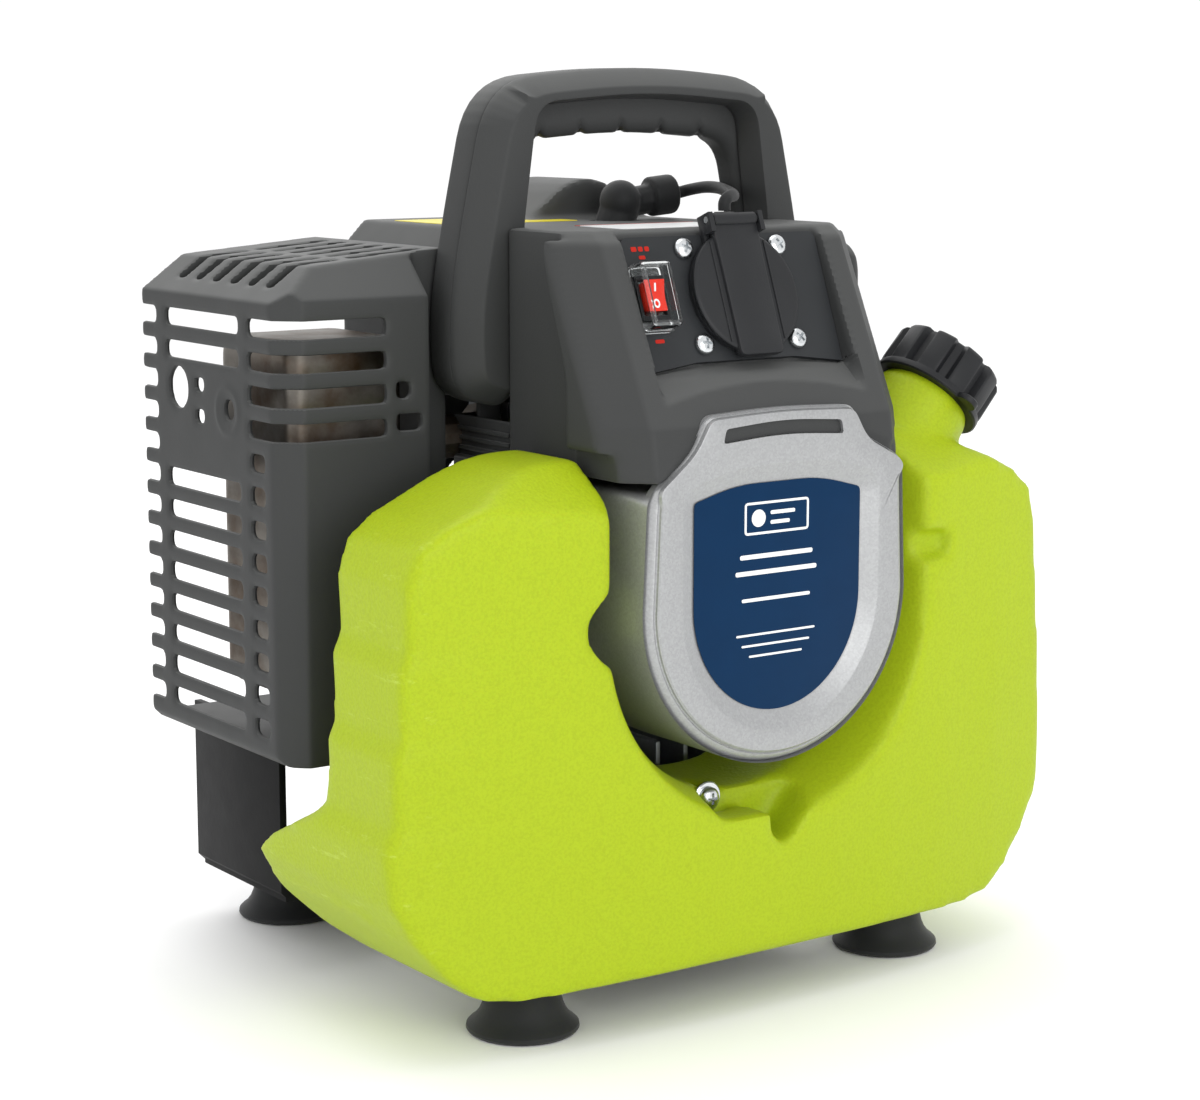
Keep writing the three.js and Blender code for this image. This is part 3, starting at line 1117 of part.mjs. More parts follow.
function carburettor() {
  const body = box(CARB_X, AIR_X - GAP, CYLINDER_Y - PORT_HALF, CYLINDER_Y + PORT_HALF,
    CARB.low, CARB.high);
  const under = [CARB.bowlX, CYLINDER_Y, 0];
  const bowl = bar("z", CARB.bowlRadius, CARB.bowlLow, CARB.low + 1, under, SMALL_ROUND + 4);
  const throat = bar("x", PORT_RADIUS, CARB_X - 5, AIR_X + 5, [0, CYLINDER_Y, PORT_Z], SMALL_ROUND);
  const hoseTail = bar("z", HOSE_RADIUS + 0.4, CARB.bowlLow - 8, CARB.bowlLow + 2, under, 8);
  return cut(unite(body, bowl, hoseTail), throat);
}

// The air cleaner's outline, taken in by a wall or a clearance.
function airOutline(inset) {
  const [front, back] = [AIR.front + inset, AIR.back - inset];
  const [low, high] = [AIR.low + inset, AIR.high - inset];
  return outline([[front, low, 8], [back, low, 8], [back, high, 12], [front, high, 12]]);
}

function airCase() {
  const body = prism("x", airOutline(4.4), AIR_X, AIR_X + 9);
  const tray = prism("x", airOutline(7), AIR_X + 2.5, AIR_X + 12);
  return cut(body, tray, bar("x", PORT_RADIUS, AIR_X - 5, AIR_X + 20, [0, CYLINDER_Y, PORT_Z], SMALL_ROUND));
}

function airCover() {
  const shell = prism("x", airOutline(0), AIR_X + 2, AIR_X + AIR.thick, { chamfer: 5 });
  const space = prism("x", airOutline(4), AIR_X - 3, AIR_X + AIR.thick - 4);
  return cut(shell, space);
}

function airFilter() {
  return box(AIR_X + 9.5, AIR_X + AIR.thick - 4.5, AIR.front + 10, AIR.back - 10, AIR.low + 12, AIR.high - 13);
}

function chokeLever() {
  const y = CHOKE_AT.y;
  const hub = bar("y", 4, y, y + 4, [CHOKE_AT.x, 0, CHOKE_AT.z], SMALL_ROUND);
  const arm = box(CHOKE_AT.x - 2, CHOKE_AT.x + 2, y + 0.5, y + 3, CHOKE_AT.z, CHOKE_AT.z + 18);
  const knob = bar("y", 4, y, y + 6, [CHOKE_AT.x, 0, CHOKE_AT.z + 18], SMALL_ROUND);
  return unite(hub, arm, knob);
}

function inverter() {
  const { left, right, front, back, top, finTop } = INVERTER;
  const body = box(left, right, front, back, BASE_TOP + GAP, top);
  const fins = Array.from({ length: 7 }, (_, i) => {
    const x = left + 3 + i * 13.5;
    return box(x, x + 2.5, front, back, top - 1, finTop);
  });
  return unite(body, ...fins);
}

// A round line along hand-placed points.
function line(points, radius, steps, sides = 8) {
  const path = new THREE.CatmullRomCurve3(points.map((p) => new THREE.Vector3(...p)));
  const section = new THREE.Shape();
  for (let i = 0; i <= sides; i += 1) {
    const angle = (i * 2 * Math.PI) / sides;
    const [u, v] = [radius * Math.cos(angle), radius * Math.sin(angle)];
    if (i === 0) section.moveTo(u, v);
    else if (i < sides) section.lineTo(u, v);
  }
  return solid(new THREE.ExtrudeGeometry(section, { extrudePath: path, steps, curveSegments: 1 }));
}

function fuelHose() {
  return line([
    [100, TANK_BACK + GAP, 56], [100, TANK_BACK + 12, 56], [98, -34, 66], [88, -28, 100], [76, -20, 140],
    [66, -4, 160], [66, 0, 166], [66, 0, 173.6],
  ], HOSE_RADIUS, 30);
}

// ---- Ignition -----------------------------------------------------------------------------

function sparkPlug() {
  const thread = [[0, -42], [4.6, -42], [4.6, -27]];
  const hexagon = [[8.5, -27], [8.5, -20]];
  const insulator = [[5, -18], [4.4, 0], [2.5, 2], [2.5, 7], [0, 7]];
  const profile = [...thread, ...hexagon, ...insulator];
  return moved(turned("z", profile, [0, 0, 0], SMALL_ROUND), plugFrame());
}

function plugBoot() {
  const sleeve = moved(cut(bar("z", 8, -14, 18, [0, 0, 0], SMALL_ROUND + 4),
    bar("z", 5.7, -15, 8.5, [0, 0, 0], SMALL_ROUND)), plugFrame());
  const start = new THREE.Vector3(0, 0, 13).applyMatrix4(plugFrame());
  const direction = BOOT_END.clone().sub(start);
  const arm = bar("z", 6, 0, direction.length(), [0, 0, 0], SMALL_ROUND);
  const turn = new THREE.Quaternion().setFromUnitVectors(new THREE.Vector3(0, 0, 1), direction.clone().normalize());
  const place = new THREE.Matrix4().compose(start, turn, new THREE.Vector3(1, 1, 1));
  return unite(sleeve, moved(arm, place));
}

function ignitionLead() {
  return line(LEAD_ROUTE, LEAD_RADIUS, 28);
}

function leadGrommet() {
  return turned("z", [
    [0, HOUSING_TOP - 8], [GROMMET_NECK, HOUSING_TOP - 8], [GROMMET_NECK, HOUSING_TOP + GAP],
    [6.5, HOUSING_TOP + GAP], [5.6, HOUSING_TOP + 2.6], [3.4, HOUSING_TOP + 4], [0, HOUSING_TOP + 4],
  ], [GROMMET_AT.x, GROMMET_AT.y, 0], SMALL_ROUND);
}

function ignitionCoil() {
  const core = box(COIL.left, COIL.right, COIL.front, COIL.back, COIL.low, COIL.high);
  const middle = [(COIL.left + COIL.right) / 2, (COIL.front + COIL.back) / 2, 0];
  return unite(core, bar("z", 8, COIL.high, COIL.high + 14, middle, SMALL_ROUND));
}

// ---- Assembly -----------------------------------------------------------------------------

addFeet();
addPanelScrews();
filler.add(
  node("fuel_cap", fuelCap(), BLACK_PLASTIC),
  node("cap_liner", capLiner(), RUBBER),
);
panel.add(
  node("control_panel", controlPanel(), BLACK_PLASTIC),
  node("socket_body", socketBody(), BLACK_PLASTIC),
  node("socket_lid", socketLid(), BLACK_PLASTIC),
  node("lid_hinge_pin", lidPin(), STEEL),
  node("switch_body", switchBody(), BLACK_PLASTIC),
  node("switch_rocker", switchRocker(), RED),
  node("switch_cover", switchCover(), CLEAR),
);
generator.add(
  node("base_frame", baseFrame(), BLACK_STEEL),
  node("fuel_tank", fuelTank(), LIME),
  node("tank_screw", tankScrew(), STEEL),
  node("fan_cover", fanCover(), SILVER_PAINT),
  node("label_plate", labelPlate(), BLUE_LABEL),
  node("vent_insert", ventSlot(GAP), DARK_PLASTIC),
  node("control_housing", controlHousing(), DARK_PLASTIC),
  node("handle_front_shell", handleFront(), DARK_PLASTIC),
  node("handle_rear_shell", handleRear(), DARK_PLASTIC),
  node("engine_shroud", shroud(), DARK_PLASTIC),
  node("silencer_guard", silencerGuard(), DARK_PLASTIC),
  node("silencer", silencer(), STEEL),
  node("exhaust_pipe", exhaustPipe(), STEEL),
  node("crankcase", crankcase(), CAST_ALLOY),
  node("cylinder", cylinder(), CAST_ALLOY),
  node("piston", piston(), CAST_ALLOY),
  node("piston_pin", pistonPin(), STEEL),
  node("connecting_rod", connectingRod(), STEEL),
  node("crank_pin", crankPin(), STEEL),
  node("crankshaft_front", crankHalf(-1), STEEL),
  node("crankshaft_rear", crankHalf(1), STEEL),
  node("stator", stator(), COPPER),
  node("flywheel_rotor", flywheel(), STEEL),
  node("cooling_fan", coolingFan(), BLACK_PLASTIC),
  node("starter_cup", starterCup(), STEEL),
  node("recoil_housing", recoilHousing(), BLACK_PLASTIC),
  node("recoil_pulley", recoilPulley(), BLACK_PLASTIC),
  node("recoil_spring", recoilSpring(), STEEL),
  node("pull_handle", pullHandle(), BLACK_PLASTIC),
  node("pull_rope", pullRope(), FOAM),
  node("inverter_module", inverter(), CAST_ALLOY),
  node("intake_manifold", intakeManifold(), RUBBER),
  node("carburettor", carburettor(), BRASS),
  node("choke_lever", chokeLever(), BLACK_PLASTIC),
  node("air_cleaner_case", airCase(), BLACK_PLASTIC),
  node("air_cleaner_cover", airCover(), DARK_PLASTIC),
  node("air_filter", airFilter(), FOAM),
  node("fuel_hose", fuelHose(), RUBBER),
  node("spark_plug", sparkPlug(), CERAMIC),
  node("spark_plug_boot", plugBoot(), RUBBER),
  node("ignition_lead", ignitionLead(), RUBBER),
  node("lead_grommet", leadGrommet(), RUBBER),
  node("ignition_coil", ignitionCoil(), BLACK_PLASTIC),
);

// The origin is on the floor under the middle of the whole machine.
const machine = new THREE.Group();
generator.position.set(0, -(FRONT_MOST + BACK_MOST) / 2, 0);
machine.add(generator);

export default machine;
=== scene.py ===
"""A small petrol inverter generator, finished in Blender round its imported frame.

The frame gives every place. Each operator below makes one piece or one group of like pieces.
"""

import json
import math

import bmesh
import bpy
import numpy as np
from mathutils import Matrix, Vector


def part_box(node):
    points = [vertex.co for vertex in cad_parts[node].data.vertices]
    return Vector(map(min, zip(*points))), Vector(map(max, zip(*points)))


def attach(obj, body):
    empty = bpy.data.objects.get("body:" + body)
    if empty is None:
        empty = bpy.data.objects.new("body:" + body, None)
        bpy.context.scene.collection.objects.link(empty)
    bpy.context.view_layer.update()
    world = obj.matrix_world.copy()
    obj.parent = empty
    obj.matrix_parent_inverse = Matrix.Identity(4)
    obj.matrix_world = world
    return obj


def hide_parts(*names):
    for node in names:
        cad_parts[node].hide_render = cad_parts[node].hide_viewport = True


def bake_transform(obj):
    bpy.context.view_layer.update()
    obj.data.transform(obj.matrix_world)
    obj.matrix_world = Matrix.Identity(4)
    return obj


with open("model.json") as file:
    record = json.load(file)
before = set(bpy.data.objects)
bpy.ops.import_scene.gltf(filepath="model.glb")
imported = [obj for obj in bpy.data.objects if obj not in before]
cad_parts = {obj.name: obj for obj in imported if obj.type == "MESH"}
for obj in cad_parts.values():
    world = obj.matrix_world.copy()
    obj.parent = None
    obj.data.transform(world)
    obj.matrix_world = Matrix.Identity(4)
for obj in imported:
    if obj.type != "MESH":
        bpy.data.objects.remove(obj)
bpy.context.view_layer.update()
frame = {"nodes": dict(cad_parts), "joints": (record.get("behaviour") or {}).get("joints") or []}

bl_info = {
    "name": "Portable Generator",
    "version": (1, 0, 0),
    "blender": (4, 5, 0),
    "location": "View3D > Sidebar > Generator",
    "description": "Finishes the pieces of a portable petrol generator round its CAD frame",
    "category": "Object",
}

MM = 0.001
SMOOTH_ANGLE = math.radians(35)


# ---- Places taken from the frame ------------------------------------------------------------

def low(node):
    """The lowest corner of a node's box."""
    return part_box(node)[0]


def high(node):
    """The highest corner of a node's box."""
    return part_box(node)[1]


def middle(node):
    return (low(node) + high(node)) / 2


def joint(name):
    return next(row for row in frame["joints"] if row["name"] == name)


def leaning_frame(origin, up):
    """A frame whose Z axis is the given direction and whose Y axis stays in the machine's depth."""
    z = Vector(up).normalized()
    x = Vector((0, 1, 0)).cross(z).normalized()
    y = z.cross(x)
    turn = Matrix((x, y, z)).transposed().to_4x4()
    return Matrix.Translation(Vector(origin)) @ turn


FILLER = leaning_frame(joint("cap_turn")["pos_m"], joint("cap_turn")["axis"])
PANEL_SCREWS = [f"panel_screw_{name}" for name in ("upper_left", "upper_right", "lower_left", "lower_right")]


def panel_frame():
    """The control panel's own frame: origin at the socket's middle, -Y out of the panel, +Z up it."""
    bottom = (middle("panel_screw_lower_left") + middle("panel_screw_lower_right")) / 2
    top = (middle("panel_screw_upper_left") + middle("panel_screw_upper_right")) / 2
    z = (top - bottom).normalized()
    x = Vector((1, 0, 0))
    y = z.cross(x)
    turn = Matrix((x, y, z)).transposed().to_4x4()
    return Matrix.Translation((top + bottom) / 2) @ turn


PANEL = panel_frame()


# ---- Colours and nodes ----------------------------------------------------------------------

def linear(code):
    """An sRGB hex colour as linear RGBA."""
    values = [int(code[i:i + 2], 16) / 255 for i in (1, 3, 5)]
    return [v / 12.92 if v <= 0.04045 else ((v + 0.055) / 1.055) ** 2.4 for v in values] + [1.0]


def feed(node, key, source):
    """Feeds an input from a socket, from a node's first output, or with a value."""
    if isinstance(source, bpy.types.Node):
        source = source.outputs[0]
    if isinstance(source, bpy.types.NodeSocket):
        node.id_data.links.new(source, node.inputs[key])
    else:
        node.inputs[key].default_value = source


def put(tree, kind, settings=None, links=None):
    """Adds a node with its settings, a ramp's stops among them, and with what feeds it."""
    node = tree.nodes.new(kind)
    for key, value in (settings or {}).items():
        if key == "stops":
            for element, (position, colour) in zip(node.color_ramp.elements, value):
                element.position = position
                element.color = colour
        elif isinstance(key, int) or key in node.inputs:
            node.inputs[key].default_value = value
        else:
            setattr(node, key, value)
    for key, source in (links or {}).items():
        feed(node, key, source)
    return node


NOISE = "ShaderNodeTexNoise"
CELLS = "ShaderNodeTexVoronoi"
RAMP = "ShaderNodeValToRGB"
SPREAD = "ShaderNodeMapRange"
MIX = "ShaderNodeMix"
MIXED = 2  # the mix node's colour output
COLOURS = {"data_type": "RGBA"}
DARKEN = {"data_type": "RGBA", "blend_type": "MULTIPLY"}


def grain(size_mm, detail=3.0, roughness=0.5):
    """Noise settings for features about size_mm across."""
    return {"Scale": 1000 / size_mm, "Detail": detail, "Roughness": roughness}


def grey(value):
    return (value, value, value, 1.0)


def darker(code, share):
    """A colour's linear value, with its light turned down."""
    return [v * share for v in linear(code)[:3]] + [1.0]


def start_material(name, shader):
    """A material with a Principled shader, and the link that lays patterns in the piece's own place."""
    material = bpy.data.materials.new(name)
    material.use_nodes = True
    tree = material.node_tree
    tree.nodes.clear()
    bsdf = put(tree, "ShaderNodeBsdfPrincipled", shader)
    put(tree, "ShaderNodeOutputMaterial", {}, {"Surface": bsdf})
    place = {"Vector": put(tree, "ShaderNodeTexCoord").outputs["Object"]}
    return material, tree, bsdf, place


def bumps(bsdf, layers):
    """Stacks bumps on the shader: each layer is a height and its depth in millimetres."""
    below = {}
    for height, depth_mm in layers:
        bump = put(bsdf.id_data, "ShaderNodeBump", {"Strength": 1.0, "Distance": depth_mm * MM},
                   {"Height": height, **below})
        below = {"Normal": bump}
    feed(bsdf, "Normal", bump)


def wander(bsdf, pattern, smooth, dull):
    """Lets the roughness wander between two values with a pattern."""
    spread = put(bsdf.id_data, SPREAD, {"To Min": smooth, "To Max": dull}, {"Value": pattern})
    feed(bsdf, "Roughness", spread)


def moulded(name, dark, light, roughness, grain_mm, grain_depth_mm, shader=None):
    """A moulded plastic or rubber: two close tones, wandering gloss and a fine grain."""
    material, tree, bsdf, place = start_material(
        name, {"IOR": 1.5, "Specular IOR Level": 0.25, **(shader or {})})
    cloud = put(tree, NOISE, grain(70, 4), place)
    feed(bsdf, "Base Color", put(tree, RAMP, {"stops": [(0.35, linear(dark)), (0.65, linear(light))]},
                                 {"Fac": cloud}))
    wander(bsdf, put(tree, NOISE, grain(18, 5, 0.65), place), roughness - 0.06, roughness + 0.08)
    bumps(bsdf, [(put(tree, NOISE, grain(26, 2), place), 0.12),
                 (put(tree, NOISE, grain(grain_mm, 2, 0.6), place), grain_depth_mm)])
    return material


# ---- Materials ------------------------------------------------------------------------------

SCUFFS_FROM, SCUFFS_FULL = -0.132, -0.142  # where the left lobe's handled end starts, along X


def blow_moulded_polyethylene(settings):
    """HDPE blown into a sand-blasted mould: waxy lime, pebbled skin, faint scuffs on its left end."""
    material, tree, bsdf, place = start_material("blow_moulded_polyethylene", {
        "IOR": 1.5, "Subsurface Weight": 0.08, "Subsurface Scale": 0.004, "Specular IOR Level": 0.22})
    base = (*settings.tank_colour, 1.0)
    cloud = put(tree, NOISE, grain(90, 3), place)
    tone = put(tree, MIX, COLOURS, {0: cloud, 6: base, 7: linear("#98ab0c")}).outputs[MIXED]
    tone = put(tree, MIX, COLOURS, {0: 0.30, 6: base, 7: tone}).outputs[MIXED]
    fleck = put(tree, RAMP, {"stops": [(0.36, grey(0.80)), (0.58, grey(1.0))]},
                {"Fac": put(tree, NOISE, grain(1.1, 2, 0.7), place)})
    tone = put(tree, MIX, DARKEN, {0: 0.55, 6: tone, 7: fleck}).outputs[MIXED]
    # Short pale scuffs, stretched level, only where the end of the left lobe is handled.
    stretched = put(tree, "ShaderNodeMapping", {"Scale": (1.0, 0.35, 2.2)}, place)
    streak = put(tree, RAMP, {"stops": [(0.60, grey(0.0)), (0.68, grey(1.0))]},
                 {"Fac": put(tree, NOISE, grain(9, 6, 0.75), {"Vector": stretched})})
    side = put(tree, "ShaderNodeSeparateXYZ", {}, {0: place["Vector"]})
    at_end = put(tree, SPREAD, {"From Min": SCUFFS_FROM, "From Max": SCUFFS_FULL, "To Min": 0.0, "To Max": 0.3},
                 {"Value": side.outputs["X"]})
    scuffed = put(tree, "ShaderNodeMath", {"operation": "MULTIPLY"}, {0: at_end, 1: streak})
    tone = put(tree, MIX, COLOURS, {0: scuffed, 6: tone, 7: linear("#c9dd6a")}).outputs[MIXED]
    feed(bsdf, "Base Color", tone)
    wander(bsdf, put(tree, NOISE, grain(30, 4), place), 0.40, 0.52)
    pebble = put(tree, CELLS, {"Scale": 1000 / 1.3, "Randomness": 1.0, "feature": "SMOOTH_F1"}, place)
    bumps(bsdf, [(put(tree, NOISE, grain(40, 2), place), 0.5),
                 (put(tree, NOISE, grain(2.4, 3, 0.6), place), 0.10),
                 (pebble.outputs["Distance"], 0.10)])
    return material


def spark_grained_plastic(settings):
    """Glass-filled nylon from a spark-eroded mould: dark grey, dry, with a fine even grain."""
    material, tree, bsdf, place = start_material(
        "spark_grained_plastic", {"IOR": 1.5, "Specular IOR Level": 0.22})
    base = (*settings.body_colour, 1.0)
    cloud = put(tree, NOISE, grain(60, 4), place)
    tone = put(tree, MIX, COLOURS, {0: cloud, 6: base, 7: linear("#323333")}).outputs[MIXED]
    tone = put(tree, MIX, COLOURS, {0: 0.45, 6: base, 7: tone}).outputs[MIXED]
    # Lighter on what faces up: partly handling dust, partly painted light on the top faces.
    facing = put(tree, "ShaderNodeSeparateXYZ", {}, {0: put(tree, "ShaderNodeNewGeometry").outputs["Normal"]})
    dust_and_top_light = put(tree, SPREAD, {"From Min": 0.3, "From Max": 1.0, "To Min": 0.0, "To Max": 0.55},
               {"Value": facing.outputs["Z"]})
    # The up-facing mix paints light onto top faces as well as dust.
    feed(bsdf, "Base Color", put(tree, MIX, COLOURS, {0: dust_and_top_light, 6: tone, 7: linear("#6a6b6a")}).outputs[MIXED])
    wander(bsdf, put(tree, NOISE, grain(14, 5, 0.6), place), 0.50, 0.64)
    bumps(bsdf, [(put(tree, NOISE, grain(30, 2), place), 0.20),
                 (put(tree, NOISE, grain(0.9, 2, 0.7), place), 0.05)])
    return material


def moulded_black_plastic(settings):
    """Black polypropylene, satin from a lightly etched mould."""
    return moulded("moulded_black_plastic", "#1b1c1e", "#252628", 0.42, 1.0, 0.03)


def panel_laminate(settings):
    """Black polycarbonate panel film with a velvet face, which shows small dust."""
    return moulded("panel_laminate", "#232527", "#2c2e30", 0.48, 0.7, 0.02)


def moulded_rubber(settings):
    """EPDM rubber, pressed: nearly black, soft sheen, faint bloom."""
    return moulded("moulded_rubber", "#191a1b", "#242526", 0.62, 1.4, 0.05, {"Sheen Weight": 0.15})


def silver_lacquer(settings):
    """Silver base coat with fine aluminium flake under a satin clear coat."""
    material, tree, bsdf, place = start_material("silver_lacquer", {
        "Metallic": 0.55, "Coat Weight": 0.35, "Coat Roughness": 0.22, "IOR": 1.5})
    flake = put(tree, CELLS, {"Scale": 1000 / 0.7, "feature": "F1"}, place)
    glint = put(tree, "ShaderNodeRGBToBW", {}, {0: flake.outputs["Color"]})
    base = (*settings.cover_colour, 1.0)
    bright = put(tree, RAMP, {"stops": [(0.2, grey(0.0)), (0.9, grey(1.0))]}, {"Fac": glint})
    tone = put(tree, MIX, COLOURS, {0: bright, 6: base, 7: linear("#babbbc")}).outputs[MIXED]
    feed(bsdf, "Base Color", put(tree, MIX, COLOURS, {0: 0.35, 6: base, 7: tone}).outputs[MIXED])
    wander(bsdf, put(tree, NOISE, grain(22, 3), place), 0.33, 0.42)
    bumps(bsdf, [(put(tree, NOISE, grain(35, 2), place), 0.08), (glint, 0.006)])
    return material


def printed_film(name, code, roughness=0.33):
    """An even printed colour with a soft gloss and a slight ripple."""
    material, tree, bsdf, place = start_material(name, {"IOR": 1.45, "Specular IOR Level": 0.12})
    cloud = put(tree, NOISE, grain(12, 3), place)
    feed(bsdf, "Base Color", put(tree, RAMP, {"stops": [(0.3, linear(code)), (0.75, darker(code, 0.93))]},
                                 {"Fac": cloud}))
    wander(bsdf, put(tree, NOISE, grain(5, 4), place), roughness - 0.04, roughness + 0.05)
    bumps(bsdf, [(put(tree, NOISE, grain(16, 1), place), 0.03)])
    return material


def metal(name, code, roughness, grain_mm, stain=None, stretch=(1, 1, 1)):
    """A bare metal: its tone, a directional or even grain, and patches of stain where it has them."""
    material, tree, bsdf, place = start_material(name, {"Metallic": 1.0})
    along = put(tree, "ShaderNodeMapping", {"Scale": stretch}, place)
    lay = put(tree, NOISE, grain(grain_mm, 5, 0.7), {"Vector": along})
    tone = put(tree, RAMP, {"stops": [(0.3, darker(code, 0.82)), (0.7, linear(code))]}, {"Fac": lay})
    if stain:
        patch = put(tree, RAMP, {"stops": [(0.42, grey(0.0)), (0.66, grey(1.0))]},
                    {"Fac": put(tree, NOISE, grain(34, 5, 0.6), place)})
        tone = put(tree, MIX, COLOURS, {0: patch, 6: tone, 7: linear(stain)}).outputs[MIXED]
    feed(bsdf, "Base Color", tone)
    wander(bsdf, lay, roughness - 0.07, roughness + 0.09)
    bumps(bsdf, [(lay, 0.02)])
    return material


def powder_coated_steel(settings):
    """Black polyester powder over steel: satin with a fine orange peel."""
    material, tree, bsdf, place = start_material(
        "powder_coated_steel", {"IOR": 1.5, "Specular IOR Level": 0.15})
    cloud = put(tree, NOISE, grain(40, 4), place)
    feed(bsdf, "Base Color", put(tree, RAMP, {"stops": [(0.3, linear("#0b0b0c")), (0.7, linear("#121213"))]},
                                 {"Fac": cloud}))
    wander(bsdf, put(tree, NOISE, grain(10, 4), place), 0.48, 0.60)
    bumps(bsdf, [(put(tree, NOISE, grain(2.2, 2), place), 0.05)])
    return material


def clear_silicone(settings):
    """A soft clear silicone boot: water white with a slightly hazy skin."""
    material, tree, bsdf, place = start_material("clear_silicone", {
        "Transmission Weight": 1.0, "IOR": 1.41, "Base Color": (0.93, 0.95, 0.95, 1.0)})
    wander(bsdf, put(tree, NOISE, grain(4, 3), place), 0.06, 0.16)
    bumps(bsdf, [(put(tree, NOISE, grain(6, 2), place), 0.05)])
    return material


def glossy_red_plastic(settings):
    """Polycarbonate rocker, translucent red, polished."""
    return moulded("glossy_red_plastic", "#d3230f", "#ea3a22", 0.24, 3.0, 0.01, {"Coat Weight": 0.3})


def open_cell_foam(settings):
    """Oiled polyurethane foam: dark and full of open cells."""
    material, tree, bsdf, place = start_material("open_cell_foam", {"IOR": 1.45})
    cells = put(tree, CELLS, {"Scale": 1000 / 1.6}, place).outputs["Distance"]
    feed(bsdf, "Base Color", put(tree, RAMP, {"stops": [(0.1, linear("#1d1e1c")), (0.6, linear("#4a4c48"))]},
                                 {"Fac": cells}))
    wander(bsdf, cells, 0.85, 0.95)
    bumps(bsdf, [(cells, 0.4)])
    return material


STRAND_MM = 1.2
LAY_ANGLE = math.radians(52)


def braided_polyester(settings):
    """Starter rope: two crossing lays of dark polyester strands, about 1.2 mm apart."""
    material, tree, bsdf, place = start_material("braided_polyester", {"IOR": 1.5, "Sheen Weight": 0.3})
    bands = []
    for slant in (LAY_ANGLE, -LAY_ANGLE):
        leaning = put(tree, "ShaderNodeMapping", {"Rotation": (0, slant, 0)}, place)
        wave = put(tree, "ShaderNodeTexWave", {"Scale": 1000 / STRAND_MM / 6.283, "Distortion": 0.4},
                   {"Vector": leaning})
        bands.append(wave.outputs["Fac"])
    weave = put(tree, "ShaderNodeMath", {"operation": "MAXIMUM"}, {0: bands[0], 1: bands[1]})
    feed(bsdf, "Base Color", put(tree, RAMP, {"stops": [(0.2, linear("#101011")), (0.9, linear("#37393b"))]},
                                 {"Fac": weave}))
    wander(bsdf, weave, 0.8, 0.6)
    bumps(bsdf, [(weave, 0.25)])
    return material


def floor_paint(settings):
    """Pale matt studio floor paint, even and without a gloss."""
    material, tree, bsdf, place = start_material("studio_floor", {"IOR": 1.4, "Specular IOR Level": 0.2})
    cloud = put(tree, NOISE, grain(400, 3), place)
    feed(bsdf, "Base Color", put(tree, RAMP, {"stops": [(0.3, linear("#fcfcfc")), (0.7, linear("#ffffff"))]},
                                 {"Fac": cloud}))
    wander(bsdf, put(tree, NOISE, grain(120, 3), place), 0.7, 0.8)
    return material


MATERIAL_MAKERS = {
    "lime_tank": blow_moulded_polyethylene,
    "dark_plastic": spark_grained_plastic,
    "black_plastic": moulded_black_plastic,
    "panel": panel_laminate,
    "rubber": moulded_rubber,
    "silver_paint": silver_lacquer,
    # Polyester label films, printed and laminated: flat colour under a soft gloss.
    "blue_label": lambda settings: printed_film("printed_film_blue", settings.label_code),
    "white_label": lambda settings: printed_film("printed_film_white", "#eceded"),
    "yellow_label": lambda settings: printed_film("printed_film_yellow", "#e6d52e"),
    # Screen ink, which dries duller than the film it lies on.
    "red_print": lambda settings: printed_film("screen_print_red", "#b3271d", 0.45),
    # Carbon steel, turned and oiled: a fine even grain and a soft shine.
    "steel": lambda settings: metal("turned_steel", "#a9acae", 0.34, 1.5),
    # Steel sheet that has run hot: dull, with brown patches of heat tint.
    "hot_steel": lambda settings: metal("heat_tinted_steel", "#8f8a83", 0.46, 3.0, "#5d4b3a"),
    # Zinc-plated steel, bright dipped: pale and nearly mirror smooth.
    "chrome_screws": lambda settings: metal("bright_zinc_plate", "#dde0e2", 0.20, 4.0),
    "black_steel": powder_coated_steel,
    # Aluminium alloy as it leaves the die: grey, matt and a little patchy.
    "cast_alloy": lambda settings: metal("die_cast_aluminium", "#9fa2a5", 0.50, 1.8, "#83868a"),
    # Enamelled copper wire, wound: warm and glossy, with its grain along the wire.
    "copper": lambda settings: metal("enamelled_copper_wire", "#b0652f", 0.32, 1.2, None, (1, 0.1, 1)),
    "red_plastic": glossy_red_plastic,
    "clear_cover": clear_silicone,
    "foam": open_cell_foam,
    "rope": braided_polyester,
    # Alumina with a fired glaze: a warm white and the smoothest surface here.
    "ceramic": lambda settings: printed_film("glazed_alumina", "#ecebe6", 0.15),
    # Cast zinc with a yellow chromate: a dull gold.
    "brass": lambda settings: metal("cast_zinc_carburettor", "#b5a57c", 0.42, 1.6, "#93866a"),
    "floor": floor_paint,
}
# The materials made so far, by slot.
_made = {}


def finish_of(slot):
    """The material of a slot, made once."""
    if slot not in _made:
        _made[slot] = MATERIAL_MAKERS[slot](bpy.context.scene.generator)
    return _made[slot]


# ---- Meshes ---------------------------------------------------------------------------------

def add_object(name, bm):
    """A linked object of a bmesh, which is freed."""
    mesh = bpy.data.meshes.new(name)
    bm.to_mesh(mesh)
    bm.free()
    obj = bpy.data.objects.new(name, mesh)
    bpy.context.scene.collection.objects.link(obj)
    return obj


def merged_copy(name, *nodes):
    """A fresh object with the welded meshes of CAD nodes."""
    bm = bmesh.new()
    for node in nodes:
        bm.from_mesh(frame["nodes"][node].data)
    bmesh.ops.remove_doubles(bm, verts=bm.verts, dist=0.002 * MM)
    return add_object(name, bm)


def settle(obj):
    """Turns what the modifiers make into the object's plain mesh."""
    graph = bpy.context.evaluated_depsgraph_get()
    mesh = bpy.data.meshes.new_from_object(obj.evaluated_get(graph))
    obj.modifiers.clear()
    old = obj.data
    obj.data = mesh
    bpy.data.meshes.remove(old)
    return obj


